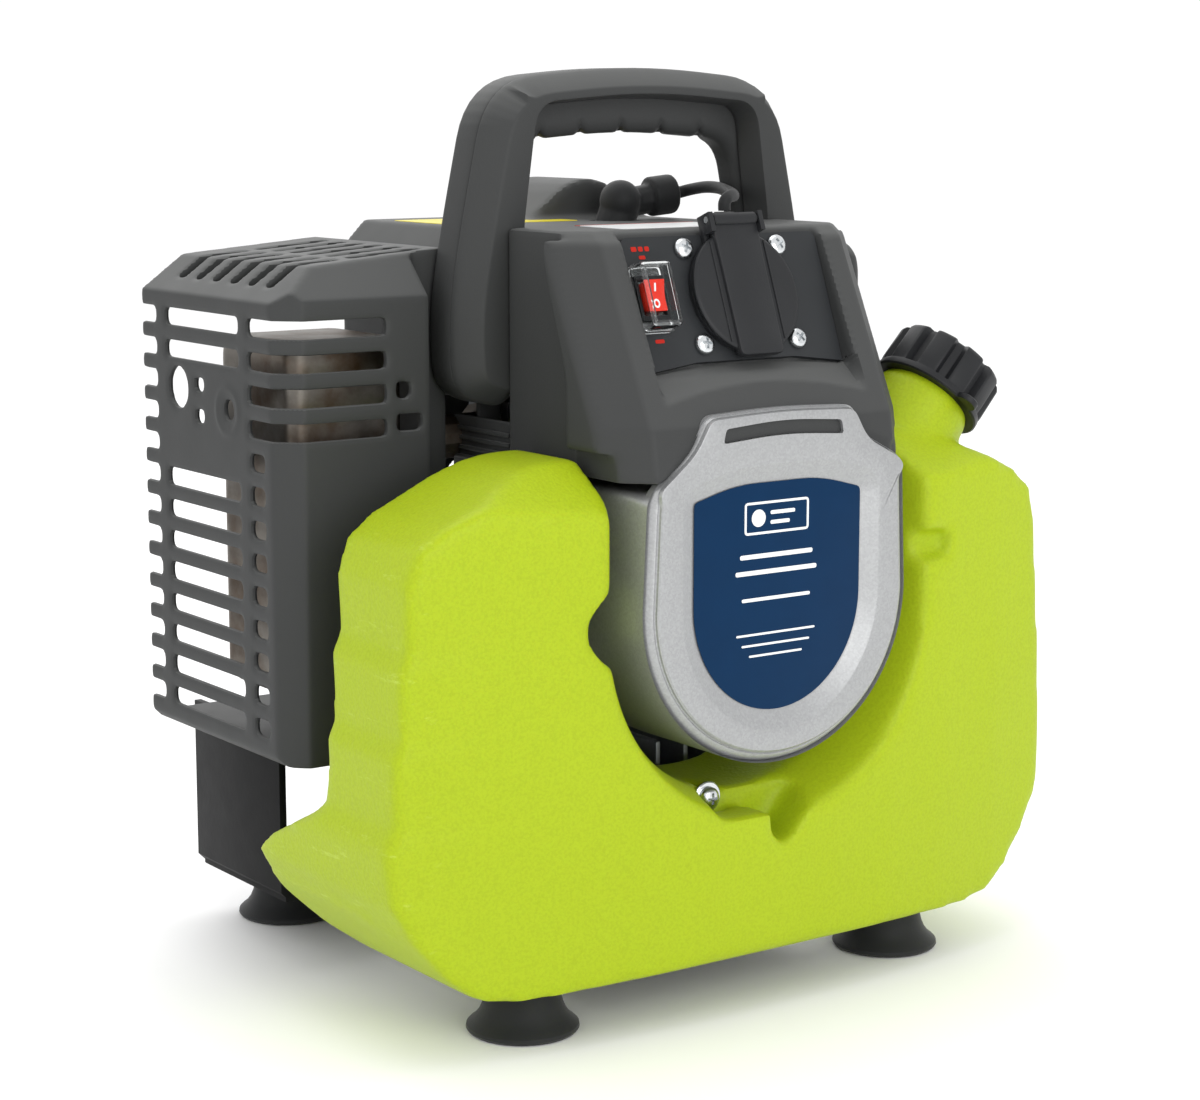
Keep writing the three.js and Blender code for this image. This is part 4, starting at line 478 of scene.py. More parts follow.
def soften(obj, voxel_mm, rounds, factor=0.5):
    """Remeshes a closed form in small even cells, joins what overlaps, and rounds its edges."""
    remesh = obj.modifiers.new("cells", "REMESH")
    remesh.mode = "VOXEL"
    remesh.voxel_size = voxel_mm * MM
    smooth = obj.modifiers.new("rounding", "SMOOTH")
    smooth.factor = factor
    smooth.iterations = rounds
    return settle(obj)


def bevelled(obj, width_mm, segments=2, angle=30):
    """Rounds the edges of a plain form."""
    bm = bmesh.new()
    bm.from_mesh(obj.data)
    bmesh.ops.dissolve_limit(bm, angle_limit=math.radians(1), verts=bm.verts, edges=bm.edges)
    bm.to_mesh(obj.data)
    bm.free()
    bevel = obj.modifiers.new("edges", "BEVEL")
    bevel.width = width_mm * MM
    bevel.segments = segments
    bevel.limit_method = "ANGLE"
    bevel.angle_limit = math.radians(angle)
    return settle(obj)


def carve(obj, *tools):
    """Cuts closed objects out of another, and removes them."""
    for tool in tools:
        step = obj.modifiers.new("cut", "BOOLEAN")
        step.operation = "DIFFERENCE"
        step.solver = "EXACT"
        step.object = tool
    settle(obj)
    for tool in tools:
        bpy.data.objects.remove(tool)
    return obj


def joined(name, *parts):
    """One object of several."""
    bm = bmesh.new()
    for part in parts:
        bm.from_mesh(part.data)
        bpy.data.objects.remove(part)
    return add_object(name, bm)


def place_mesh(obj, matrix):
    """Moves a mesh to its place and leaves its object at the origin."""
    obj.data.transform(matrix)
    return obj


def points_of(obj):
    co = np.empty(len(obj.data.vertices) * 3)
    obj.data.vertices.foreach_get("co", co)
    return co.reshape(-1, 3)


def set_points(obj, points):
    obj.data.vertices.foreach_set("co", points.ravel())
    obj.data.update()


def smoothstep(edge0, edge1, value):
    t = np.clip((value - edge0) / (edge1 - edge0), 0, 1)
    return t * t * (3 - 2 * t)


def outline(corners, spacing=1.5):
    """A closed outline of [u, v, rounding] corners in millimetres, as evenly spaced points in metres."""
    points = []
    count = len(corners)
    for i, (u, v, rounding) in enumerate(corners):
        here = np.array([u, v], float)
        before = np.array(corners[i - 1][:2], float)
        after = np.array(corners[(i + 1) % count][:2], float)
        rounding = min(rounding, 0.48 * np.linalg.norm(before - here), 0.48 * np.linalg.norm(after - here))
        start = here + (before - here) / np.linalg.norm(before - here) * rounding
        end = here + (after - here) / np.linalg.norm(after - here) * rounding
        steps = 8 if rounding else 1
        for t in np.linspace(0, 1, steps + 1 if rounding else 1):
            points.append((1 - t) ** 2 * start + 2 * t * (1 - t) * here + t * t * end)
    points = np.array(points)
    closed = np.vstack([points, points[:1]])
    run = np.concatenate([[0], np.cumsum(np.linalg.norm(np.diff(closed, axis=0), axis=1))])
    number = max(12, int(run[-1] / spacing))
    at = np.linspace(0, run[-1], number, endpoint=False)
    return np.stack([np.interp(at, run, closed[:, k]) for k in (0, 1)], axis=1) * MM


def rectangle(left, low_edge, right, high_edge, rounding, spacing):
    """A rectangle's outline with rounded corners, in metres from sizes in millimetres."""
    return outline([(left, low_edge, rounding), (right, low_edge, rounding), (right, high_edge, rounding),
                    (left, high_edge, rounding)], spacing)


def circle(radius_mm, centre=(0, 0), count=64):
    angle = np.linspace(0, 2 * math.pi, count, endpoint=False)
    return np.stack([np.cos(angle), np.sin(angle)], axis=1) * radius_mm * MM + np.array(centre)


def inward(points):
    """Unit directions into a closed outline, one for each point."""
    along = np.roll(points, -1, axis=0) - np.roll(points, 1, axis=0)
    along /= np.linalg.norm(along, axis=1, keepdims=True)
    x, y = points[:, 0], points[:, 1]
    area = np.sum(x * np.roll(y, -1) - np.roll(x, -1) * y)
    side = 1 if area > 0 else -1
    return np.stack([-along[:, 1], along[:, 0]], axis=1) * side


def stitch(bm, pairs):
    """Fills the bands between pairs of rings with faces."""
    for first, second in pairs:
        for i in range(len(first)):
            k = (i + 1) % len(first)
            bm.faces.new((first[i], first[k], second[k], second[i]))


def loft(name, rings):
    """A closed skin through rings of the same number of points, with both ends capped."""
    bm = bmesh.new()
    rows = [[bm.verts.new(point) for point in ring] for ring in rings]
    stitch(bm, zip(rows, rows[1:]))
    bm.faces.new(rows[0][::-1])
    bm.faces.new(rows[-1])
    bmesh.ops.recalc_face_normals(bm, faces=bm.faces)
    bmesh.ops.triangulate(bm, faces=[f for f in bm.faces if len(f.verts) > 4])
    return add_object(name, bm)


def band(name, rings):
    """A closed band through rings, the last of which joins the first."""
    bm = bmesh.new()
    rows = [[bm.verts.new(point) for point in ring] for ring in rings]
    stitch(bm, zip(rows, rows[1:] + rows[:1]))
    bmesh.ops.recalc_face_normals(bm, faces=bm.faces)
    return add_object(name, bm)


def flat_ring(shape, y_mm):
    """An outline in the XZ plane as a ring of points at one depth."""
    return [(p[0], y_mm * MM, p[1]) for p in shape]


def extruded(name, shape, profile, weight=None):
    """Lofts an outline in the XZ plane along Y by a profile of (inset, y) pairs in millimetres."""
    turn = inward(shape)
    share = np.ones(len(shape)) if weight is None else weight
    rings = []
    for inset, y in profile:
        rings.append(flat_ring(shape + turn * (inset * MM * share)[:, None], y))
    return loft(name, rings)


def turned(name, profile, segments=48):
    """A piece turned about Z from (radius, height) points in millimetres, starting and ending on the axis."""
    bm = bmesh.new()
    line = [bm.verts.new((r * MM, 0, z * MM)) for r, z in profile]
    edges = [bm.edges.new(pair) for pair in zip(line, line[1:])]
    bmesh.ops.spin(bm, geom=line + edges, cent=(0, 0, 0), axis=(0, 0, 1), angle=2 * math.pi,
                   steps=segments, use_merge=True)
    bmesh.ops.remove_doubles(bm, verts=bm.verts, dist=0.001 * MM)
    bmesh.ops.recalc_face_normals(bm, faces=bm.faces)
    return add_object(name, bm)


def block(name, corner_a, corner_b, bevel_mm=0.0, segments=3):
    """A box between two corners in millimetres, with its edges rounded."""
    bm = bmesh.new()
    bmesh.ops.create_cube(bm, size=1)
    a, b = np.array(corner_a, float), np.array(corner_b, float)
    for vert in bm.verts:
        vert.co = Vector(((a + b) / 2 + np.array(vert.co) * (b - a)) * MM)
    if bevel_mm:
        bmesh.ops.bevel(bm, geom=bm.edges[:], offset=bevel_mm * MM, segments=segments, affect="EDGES",
                        profile=0.5)
    return add_object(name, bm)


def complete(obj, finish, body="root", replaces=(), angle=SMOOTH_ANGLE):
    """Gives a mesh its material and its smooth shading, hangs it on the body it rides on, and hides the nodes
    it stands for.
    """
    obj.data.materials.clear()
    obj.data.materials.append(finish_of(finish))
    bm = bmesh.new()
    bm.from_mesh(obj.data)
    for face in bm.faces:
        face.smooth = True
        face.material_index = 0
    for edge in bm.edges:
        edge.smooth = not (edge.is_manifold and edge.calc_face_angle(0) > angle)
    bm.to_mesh(obj.data)
    bm.free()
    if body:
        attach(obj, body)
    if replaces:
        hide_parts(*replaces)
    return obj


def start_tree(name, inputs):
    """A Geometry Nodes tree with a geometry, other named inputs and a material, and its input node."""
    tree = bpy.data.node_groups.new(name, "GeometryNodeTree")
    sockets = {"Geometry": "NodeSocketGeometry", **inputs, "Material": "NodeSocketMaterial"}
    for title, kind in sockets.items():
        tree.interface.new_socket(title, in_out="INPUT", socket_type=kind)
    tree.interface.new_socket("Geometry", in_out="OUTPUT", socket_type="NodeSocketGeometry")
    return tree, put(tree, "NodeGroupInput")


def run_tree(name, entry, skin, mesh, values):
    """Ends a tree in real painted geometry, runs it on a mesh with its inputs set, and keeps what it makes."""
    tree = entry.id_data
    real = put(tree, "GeometryNodeRealizeInstances", {}, {"Geometry": skin})
    painted = put(tree, "GeometryNodeSetMaterial", {},
                  {"Geometry": real, "Material": entry.outputs["Material"]})
    put(tree, "NodeGroupOutput", {}, {"Geometry": painted})
    obj = bpy.data.objects.new(name, mesh)
    bpy.context.scene.collection.objects.link(obj)
    step = obj.modifiers.new("nodes", "NODES")
    step.node_group = tree
    keys = {item.name: item.identifier for item in tree.interface.items_tree if item.in_out == "INPUT"}
    for title, value in values.items():
        step[keys[title]] = value
    return settle(obj)


def repeated(name, shape, places):
    """Geometry Nodes set one shape at many places, and the result is one plain mesh."""
    tree, entry = start_tree(name, {"Shape": "NodeSocketObject", "Size": "NodeSocketFloat"})
    info = put(tree, "GeometryNodeObjectInfo", {"As Instance": True}, {"Object": entry.outputs["Shape"]})
    turn = put(tree, "GeometryNodeInputNamedAttribute", {"data_type": "QUATERNION", "Name": "turn"})
    copies = put(tree, "GeometryNodeInstanceOnPoints", {}, {
        "Points": entry.outputs["Geometry"], "Instance": info.outputs["Geometry"],
        "Rotation": turn, "Scale": entry.outputs["Size"]})
    mesh = bpy.data.meshes.new(name)
    mesh.from_pydata([matrix.to_translation() for matrix in places], [], [])
    turns = mesh.attributes.new("turn", "QUATERNION", "POINT")
    for row, matrix in zip(turns.data, places):
        row.value = matrix.to_quaternion()
    values = {"Shape": shape, "Size": 1.0, "Material": shape.data.materials[0]}
    obj = run_tree(name, entry, copies, mesh, values)
    bpy.data.objects.remove(shape)
    return obj


def tube(name, path, radius_mm, finish, rings=12, resolution=10):
    """Geometry Nodes sweep a round section along a smooth path through points in metres."""
    tree, entry = start_tree(name, {"Radius": "NodeSocketFloat"})
    line = put(tree, "GeometryNodeMeshToCurve", {}, {0: entry.outputs["Geometry"]})
    kind = put(tree, "GeometryNodeCurveSplineType", {"spline_type": "CATMULL_ROM"}, {"Curve": line})
    fine = put(tree, "GeometryNodeSetSplineResolution", {"Resolution": resolution}, {"Geometry": kind})
    section = put(tree, "GeometryNodeCurvePrimitiveCircle", {"Resolution": rings},
                  {"Radius": entry.outputs["Radius"]})
    skin = put(tree, "GeometryNodeCurveToMesh", {"Fill Caps": True}, {"Curve": fine, "Profile Curve": section})
    mesh = bpy.data.meshes.new(name)
    mesh.from_pydata([Vector(p) for p in path], [(i, i + 1) for i in range(len(path) - 1)], [])
    return run_tree(name, entry, skin, mesh, {"Radius": radius_mm * MM, "Material": finish_of(finish)})


# ---- Settings -------------------------------------------------------------------------------

class GENERATOR_PG_settings(bpy.types.PropertyGroup):
    """Sizes and colours that a user would change."""

    tank_colour: bpy.props.FloatVectorProperty(
        name="Tank", description="Colour of the fuel tank", subtype="COLOR", size=3,
        default=linear("#a5b918")[:3])
    body_colour: bpy.props.FloatVectorProperty(
        name="Body", description="Colour of the housings, handle and guard", subtype="COLOR", size=3,
        default=linear("#3b3c3c")[:3])
    cover_colour: bpy.props.FloatVectorProperty(
        name="Fan cover", description="Colour of the fan cover's lacquer", subtype="COLOR", size=3,
        default=linear("#9c9d9e")[:3])
    label_code: bpy.props.StringProperty(
        name="Label", description="sRGB hex colour of the label on the fan cover", default="#042b4d")
    tank_cell: bpy.props.FloatProperty(
        name="Tank cell", description="Cell of the tank's mesh, in millimetres", default=2.1,
        min=1.2, max=5.0)
    body_cell: bpy.props.FloatProperty(
        name="Body cell", description="Cell of the moulded housings' meshes, in millimetres", default=1.3,
        min=0.8, max=4.0)
    handle_round: bpy.props.FloatProperty(
        name="Handle chamfer", description="Width of the chamfer round the handle, in millimetres",
        default=8.0, min=1.0, max=9.0)


# ---- Fuel tank ------------------------------------------------------------------------------

NOSE_CORE = [(-70, 50), (-9, 50), (-6, 56), (-6, 65), (-15, 70.6), (-30, 77.8), (-45, 84.5), (-70, 86)]
NOSE_ENDS = ((-149, -121), (121, 149))
GRIP_PITCH = 0.031
GRIP_DEPTH = 0.0024
GRIP_EDGE = 0.26  # the share of a step that its edge takes


def make_tank(settings):
    """The blow-moulded tank: soft edges, grip waves on its left end, a closed neck under the cap."""
    tank = merged_copy("fuel_tank_skin", "fuel_tank")
    plug = place_mesh(turned("neck_plug", [(0, -61), (15.2, -61), (15.2, 9), (0, 9)], 32), FILLER)
    # The pocket under the screw is shallow, and runs on into the notch beside it.
    screw = middle("tank_screw") / MM
    face = low("fuel_tank").y / MM
    sill = block("sill", (screw.x - 13, face + 0.3, screw.z - 16), (screw.x + 15, face + 16, screw.z - 3.8))
    # Solid cores stand in the noses, whose walls are thinner than the mesh's cells.
    side = np.array(NOSE_CORE) * MM
    cores = [loft("core", [[(x * MM, y, z) for y, z in side] for x in ends]) for ends in NOSE_ENDS]
    tank = joined("fuel_tank_skin", tank, plug, sill, *cores)
    soften(tank, settings.tank_cell, 12)
    points = points_of(tank)
    x, y, z = points.T
    # Three shallow steps for the fingers, each sloping back below its edge.
    phase = ((z - 0.081) / GRIP_PITCH) % 1.0
    step = np.minimum(smoothstep(0, GRIP_EDGE, phase), 1 - (phase - GRIP_EDGE) / (1 - GRIP_EDGE))
    rows = smoothstep(0.079, 0.082, z) * (1 - smoothstep(0.170, 0.176, z))
    points[:, 0] += GRIP_DEPTH * step * rows * smoothstep(-0.120, -0.138, x)
    # The rounding draws the noses in, so they are let out again to their length.
    behind = np.clip(y - low("fuel_tank").y - 0.085, 0, None)
    points[:, 1] += behind * (high("fuel_tank").y - y.max()) / behind.max()
    set_points(tank, points)
    complete(tank, "lime_tank", replaces=["fuel_tank"])


def make_filler_cap(settings):
    """The screw cap: deep finger flutes round its side and a dished top with spokes."""
    flutes, spoke_count = 10, 5
    count = 240
    angle = np.linspace(0, 2 * math.pi, count, endpoint=False)
    wave = np.cos(angle * flutes)
    bite = smoothstep(-0.15, -0.75, wave)

    def ring(radius, depth, z):
        r = (radius - depth * bite) * MM
        return [(r[i] * math.cos(a), r[i] * math.sin(a), z * MM) for i, a in enumerate(angle)]

    foot = 0.35
    skin = loft("cap_skin", [
        ring(18.2, 0, 16.0), ring(18.2, 0, foot), ring(22.6, 0, foot), ring(23.2, 0, foot + 0.6),
        ring(23.2, 0, foot + 2.4), ring(22.9, 0, foot + 3.0), ring(22.9, 3.2, foot + 3.4),
        ring(23.1, 3.4, foot + 6), ring(22.9, 3.2, 18.6), ring(22.0, 2.9, 20.2), ring(20.6, 2.4, 21.0),
        ring(16.8, 0, 21.0),
        ring(16.2, 0, 20.6), ring(15.8, 0, 19.4), ring(6.5, 0, 19.2), ring(6.0, 0, 20.2), ring(5.2, 0, 20.6),
        ring(0.3, 0, 20.7)])
    spokes = []
    for i in range(spoke_count):
        spoke = block("spoke", (5, -0.7, 18.6), (16.4, 0.7, 20.4), 0.3)
        spokes.append(place_mesh(spoke, Matrix.Rotation(i * 2 * math.pi / spoke_count, 4, "Z")))
    lug = turned("lug", [(0, foot), (4.4, foot), (4.8, foot + 0.6), (4.8, foot + 2.0), (4.2, foot + 2.6),
                         (0, foot + 2.6)], 32)
    place_mesh(lug, Matrix.Translation((0, -23.6 * MM, 0)))
    cap = joined("filler_cap", skin, *spokes, lug)
    place_mesh(cap, FILLER)
    complete(cap, "black_plastic", body="cap", replaces=["fuel_cap"])


# ---- Fan cover and label --------------------------------------------------------------------

COVER_SLOT_RISE = 2.0
PRINT_MM = 0.2  # thickness of a printed mark


def shield_outline(half, bottom, top_corners, centre, count=360):
    """A shield by angle about its centre: an elliptical lower half, straight sides, a cornered top."""
    lower = [(centre[0] + half * math.cos(a), centre[1] + (centre[1] - bottom) * math.sin(a))
             for a in np.linspace(math.pi, 2 * math.pi, 90)]
    corners = [(x, z, 0) for x, z in lower] + [(centre[0] + x, z, r) for x, z, r in reversed(top_corners)]
    dense = outline(corners, 0.5) / MM
    rel = dense - np.array(centre)
    angle = np.arctan2(rel[:, 1], rel[:, 0])
    order = np.argsort(angle)
    radius = np.linalg.norm(rel, axis=1)[order]
    angle = angle[order]
    at = np.linspace(-math.pi, math.pi, count, endpoint=False)
    r = np.interp(at, angle, radius, period=2 * math.pi)
    return (np.stack([np.cos(at) * r, np.sin(at) * r], axis=1) + np.array(centre)) * MM


def cover_shapes():
    """The fan cover's outlines: its face with the tab, its cup, and the label's."""
    a, b = low("fan_cover") / MM, high("fan_cover") / MM
    half = (b.x - a.x) / 2
    centre = ((a.x + b.x) / 2, a.z + half)
    tab = b.z
    shoulder = tab - 28
    face = shield_outline(half, a.z, [
        (-half + 2, shoulder, 6), (-41, tab - 13.5, 5), (-34, tab - 1.5, 4), (0, tab, 20), (34, tab - 1.5, 4),
        (41, tab - 13.5, 5), (half - 2, shoulder + 5, 6)], centre)
    cup = shield_outline(half, a.z, [(-half, shoulder, 4), (half, shoulder, 4)], centre)
    la, lb = low("label_plate") / MM, high("label_plate") / MM
    label_half = (lb.x - la.x) / 2
    label_top = [(-label_half, lb.z - 6, 2), (-label_half / 2, lb.z - 0.8, 14),
                 (label_half / 2, lb.z - 0.8, 14), (label_half, lb.z - 6, 2)]
    label = shield_outline(label_half, la.z, label_top, centre)
    return face, cup, label, centre


def make_fan_cover(settings):
    """The lacquered cover: rounded side, a fine joint line, a flat ring and a sloped recess for the label."""
    face, cup, label, centre = cover_shapes()
    y0, y1 = low("fan_cover").y / MM, high("fan_cover").y / MM
    floor = low("label_plate").y / MM + 1.3
    height = face[:, 1] / MM
    hug = 1 - 0.72 * smoothstep(196, 204, height)
    turn_face, turn_cup, turn_label = inward(face), inward(cup), inward(label)

    def ring(shape, turn, inset, y, share=1.0):
        return flat_ring(shape + turn * (np.ones(len(shape)) * inset * MM * share)[:, None], y)

    rim = [(0, 3.2), (0.35, 6.2), (1.2, 4.0), (2.6, 2.2), (3.6, 1.7), (4.0, 1.9), (4.4, 1.5), (4.6, 0.7),
           (5.2, 0.12), (6.2, 0)]
    rings = [ring(cup, turn_cup, 2.5, floor + 3), ring(cup, turn_cup, 2.5, y1), ring(cup, turn_cup, 0, y1),
             ring(cup, turn_cup, 0, y0 + 12)]
    rings += [ring(face, turn_face, inset, y0 + depth, hug) for inset, depth in rim]
    rings += [ring(label, turn_label, -7.2, y0), ring(label, turn_label, -6.4, y0 + 0.25),
              ring(label, turn_label, -0.6, floor - 0.25), ring(label, turn_label, 0.2, floor)]
    cover = loft("fan_cover_skin", rings)
    slot = vent_slot("slot_cut", 0, y0 - 3, y0 + 2.6)
    carve(cover, slot)
    complete(cover, "silver_paint", replaces=["fan_cover"], angle=math.radians(28))


def vent_slot(name, shrink, y_from, y_to):
    """The slot in the cover's tab, bowed along its length."""
    a, b = low("vent_insert") / MM, high("vent_insert") / MM
    x0, x1 = a.x - 0.4 + shrink, b.x + 0.4 - shrink
    z0, z1 = a.z + shrink, b.z - COVER_SLOT_RISE - shrink
    mid = (x0 + x1) / 2
    rise = COVER_SLOT_RISE
    shape = outline([(x0, z0, 1.2), (mid, z0 + rise, 20), (x1, z0, 1.2), (x1 - 1.2, z1, 1.2),
                     (mid, z1 + rise, 20), (x0 + 1.2, z1, 1.2)], 1.0)
    return extruded(name, shape, [(0, y_from), (0, y_to)])


def make_cover_trim(settings):
    """The dark insert in the slot, the blue label film and the plain marks printed on it."""
    y0 = low("fan_cover").y / MM
    insert = vent_slot("vent_insert_skin", 0.15, y0 + 1.4, y0 + 2.4)
    complete(insert, "dark_plastic", replaces=["vent_insert"])
    _, _, label, centre = cover_shapes()
    a, b = low("label_plate") / MM, high("label_plate") / MM
    film = extruded("label_film", label, [(0.3, b.y), (0.3, a.y + 0.9), (0.7, a.y + 0.8)])
    complete(film, "blue_label", replaces=["label_plate"])
    front = a.y + 0.68
    printed = [(0, front + PRINT_MM), (0, front)]
    x, z = centre[0] - 1.0, b.z
    badge = rectangle(x - 15, z - 20, x + 15, z - 8, 1.5, 0.8)
    inner = badge + inward(badge) * 0.9 * MM
    marks = [band("badge_frame", [flat_ring(badge, front + PRINT_MM), flat_ring(badge, front),
                                  flat_ring(inner, front), flat_ring(inner, front + PRINT_MM)])]
    # A plain disc and two bars stand in the badge.
    marks.append(extruded("badge_disc", circle(3.2, ((x - 8.5) * MM, (z - 14) * MM), 40), printed))
    for rise, reach in ((-12.3, 11.5), (-15.9, 9.0)):
        bar = rectangle(x - 3, z + rise - 0.7, x - 3 + reach, z + rise + 0.7, 0.5, 0.6)
        marks.append(extruded("badge_bar", bar, printed))
    for drop, half, tall in ((28, 17, 1.7), (34, 19, 1.7), (44, 16, 1.3), (57, 18.5, 0.8), (61, 16, 0.8),
                             (65, 12.5, 0.8)):
        bar = rectangle(x - half, z - drop - tall / 2, x + half, z - drop + tall / 2, tall * 0.4, 0.6)
        marks.append(extruded("label_line", bar, printed))
    complete(joined("label_print", *marks), "white_label")


# ---- Housings, handle and guard -------------------------------------------------------------

PANEL_BACK = 1.4  # where the ledge starts, behind the middles of the panel's screws
LEDGE_WALL = 3.0


def housing_front(z):
    """The depth of the housing's front under the panel, in the panel's frame."""
    return 0.0787 * z - 3.04


def ledge(points):
    """Presses the arched ledge in between the panel's lower edge and the housing's front."""
    inverse = np.array(PANEL.inverted())
    spot = (points @ inverse[:3, :3].T + inverse[:3, 3]) / MM
    x, y, z = spot.T
    left, right = ((PANEL.inverted() @ corner("control_panel")).x / MM for corner in (low, high))
    across = (x - (left + right) / 2) / ((right - left) / 2)
    top = -24.4 - 3.0 * across ** 2
    deep = 10.5 + 3.5 * across ** 2
    front = housing_front(z)
    wanted = PANEL_BACK + (housing_front(top - deep) - PANEL_BACK) * (top - z) / deep
    push = np.clip(wanted - front, 0, None) * (z < top)
    moved = wanted + (y - front) * LEDGE_WALL / (LEDGE_WALL + push)
    share = 1 - smoothstep(1.0, 1.04, np.abs(across))
    use = (push > 0) & (y < wanted + LEDGE_WALL) & (y > front - 0.8)
    spot[:, 1] = np.where(use, y + (moved - y) * share, y)
    matrix = np.array(PANEL)
    return (spot * MM) @ matrix[:3, :3].T + matrix[:3, 3]


def make_control_housing(settings):
    """The housing round the panel: soft edges, and its pillars bevelled towards their outer sides."""
    housing = merged_copy("control_housing_skin", "control_housing")
    soften(housing, settings.body_cell, 4)
    points = ledge(points_of(housing))
    x, y, z = points.T
    a, b = low("control_housing"), high("control_housing")
    front = np.interp(z, [a.z, a.z + 0.018, b.z - 0.004, b.z], [a.y, a.y + 0.003, a.y + 0.034, a.y + 0.040])
    reach = np.clip(np.abs(x) - 0.055, 0, None)
    deep = y - front
    points[:, 1] += reach * (1 - smoothstep(0.0, 0.028, deep))
    set_points(housing, points)
    complete(housing, "dark_plastic", replaces=["control_housing"])


LOUVRES = 8
LOUVRE_PITCH = 3.7


def make_shroud(settings):
    """The engine shroud, and the louvred cheek between it and the tank."""
    shroud = merged_copy("engine_shroud_skin", "engine_shroud")
    soften(shroud, 1.6, 4)
    complete(shroud, "dark_plastic", replaces=["engine_shroud"])
    left = low("control_housing").x / MM + 8.5
    front = high("control_housing").y / MM + 1
    foot = low("engine_shroud").z / MM - 24
    cheek = [block("cheek", (left, front, foot), (left + 2.5, front + 42, foot + 34), 0.6)]
    for i in range(LOUVRES):
        z = foot + 2.5 + i * LOUVRE_PITCH
        cheek.append(block("louvre", (left - 1.3, front + 1.5, z), (left + 0.6, front + 40, z + 1.7), 0.5, 2))
    complete(joined("side_louvres", *cheek), "dark_plastic")


GUARD_SLOPE = [(-143, -22, 266.1), (-90, -22, 266.1), (-90, -7.6, 281.4), (-134, -10.8, 278),
               (-143, -16.9, 271.5)]


def make_guard(settings):
    """The slotted guard, with the cup of its bolt boss."""
    guard = merged_copy("silencer_guard_skin", "silencer_guard")
    a = low("silencer_guard")
    at = Vector((a.x, 0.020, 0.2235))
    ring = turned("boss", [(4.2, -2.6), (9.6, -2.6), (9.6, 0.5), (9.0, 1.0), (8.0, 1.0), (7.4, 0.4),
                           (6.4, -1.0), (4.2, -1.0), (4.2, -2.6)], 40)
    seat = Matrix.Translation(at + Vector((0.4 * MM, 0, 0)))
    place_mesh(ring, seat @ Matrix.Rotation(-math.pi / 2, 4, "Y"))
    # The slope along the front edge of the roof, 3 mm thick.
    slope = [[(x * MM, (y + back) * MM, (z - drop) * MM) for x, y, z in GUARD_SLOPE]
             for back, drop in ((0, 0), (2.2, 2.05))]
    guard = joined("silencer_guard_skin", guard, ring, loft("slope", slope))
    soften(guard, 1.2, 3)
    complete(guard, "dark_plastic", replaces=["silencer_guard"])


def handle_corners():
    """The corners of the front shell's box and the middle of its width, in millimetres."""
    a, b = low("handle_front_shell") / MM, high("handle_front_shell") / MM
    mid = (a.x + b.x) / 2
    return a, b, mid


def handle_shape(under, belly):
    """The handle's outline: two leaning posts and an arched grip, whose underside is at the given height."""
    a, b, mid = handle_corners()
    foot, top = a.z, b.z
    right = [(57, foot, 12), (82.5, foot + 7, 12), (84, foot + 38, 15), (78, foot + 71, 16),
             (66.5, top - 6, 22)]
    inner = [(50, under - 3.5, 8 + belly), (56, foot + 71, 4)]
    corners = [(mid + x, z, r) for x, z, r in right]
    corners += [(mid, top, 40)]
    corners += [(mid - x, z, r) for x, z, r in reversed(right)]
    corners += [(mid - x, z, r) for x, z, r in reversed(inner)]
    corners += [(mid, under + 0.5, 30)]
    corners += [(mid + x, z, r) for x, z, r in inner]
    return outline(corners, 1.2)


BELLY = 6.5  # rounding of the grip's underside on the rear shell
BACK_ROUND = 3.2
GROOVE_PITCH = 19
GROOVE_DEPTH = 1.9


def make_handle(settings):
    """The two handle shells: a broad chamfered front, and a rear shell with a belly and finger grooves."""
    a, b, mid = handle_corners()
    seam = b.y
    r = settings.handle_round
    front = handle_shape(338.5, 0)
    # A broad chamfer runs round the outside; the opening's edge is only eased.
    across, up = np.abs(front[:, 0] / MM - mid), front[:, 1] / MM
    outside = np.maximum(smoothstep(57.2, 60, across), smoothstep(341, 345, up))
    profile = [(r, a.y), (r * 0.9, a.y + 0.12), (r * 0.8, a.y + 0.6), (r * 0.22, a.y + r * 0.95),
               (r * 0.09, a.y + r * 1.15), (0, a.y + r * 1.4), (0, seam - 0.9), (0.5, seam - 0.3),
               (0.8, seam)]
    shell = extruded("handle_front_skin", front, profile, 0.25 + 0.75 * outside)
    complete(shell, "dark_plastic", replaces=["handle_front_shell"])
    y_front, y_back = low("handle_rear_shell").y / MM, high("handle_rear_shell").y / MM
    rear = handle_shape(325.5, 4)
    x, z = rear[:, 0] / MM, rear[:, 1] / MM
    opening = (smoothstep(60, 56, np.abs(x - mid)) * smoothstep(341, 336, z)) * smoothstep(262, 275, z)
    turn = inward(rear)
    rings = []
    for t in np.linspace(0, math.pi / 2, 8):
        inset = BELLY * (1 - math.sin(t)) * opening + 0.8 * (1 - math.sin(t))
        rings.append((inset, y_front + BELLY * (1 - math.cos(t)) * 0.9))
    for t in np.linspace(math.pi / 2, 0, 6):
        inset = np.full(len(rear), BACK_ROUND * (1 - math.sin(t)))
        rings.append((inset, y_back - BACK_ROUND * (1 - math.cos(t))))
    body = []
    for inset, y in rings:
        flat = rear + turn * (inset * MM)[:, None]
        slant = (y - (y_front + y_back) / 2) * 0.55
        for i in range(-2, 3):
            away = flat[:, 0] / MM - (mid + i * GROOVE_PITCH + slant)
            under = smoothstep(332, 328, flat[:, 1] / MM) * smoothstep(316, 319, flat[:, 1] / MM)
            flat[:, 1] += under * GROOVE_DEPTH * MM * np.exp(-(away / 1.5) ** 2)
        body.append(flat_ring(flat, y))
    back = loft("handle_rear_skin", body)
    complete(back, "dark_plastic", replaces=["handle_rear_shell"])


# ---- Panel ----------------------------------------------------------------------------------

PANEL_FACE = 1.42  # the panel's face behind the middles of its screws


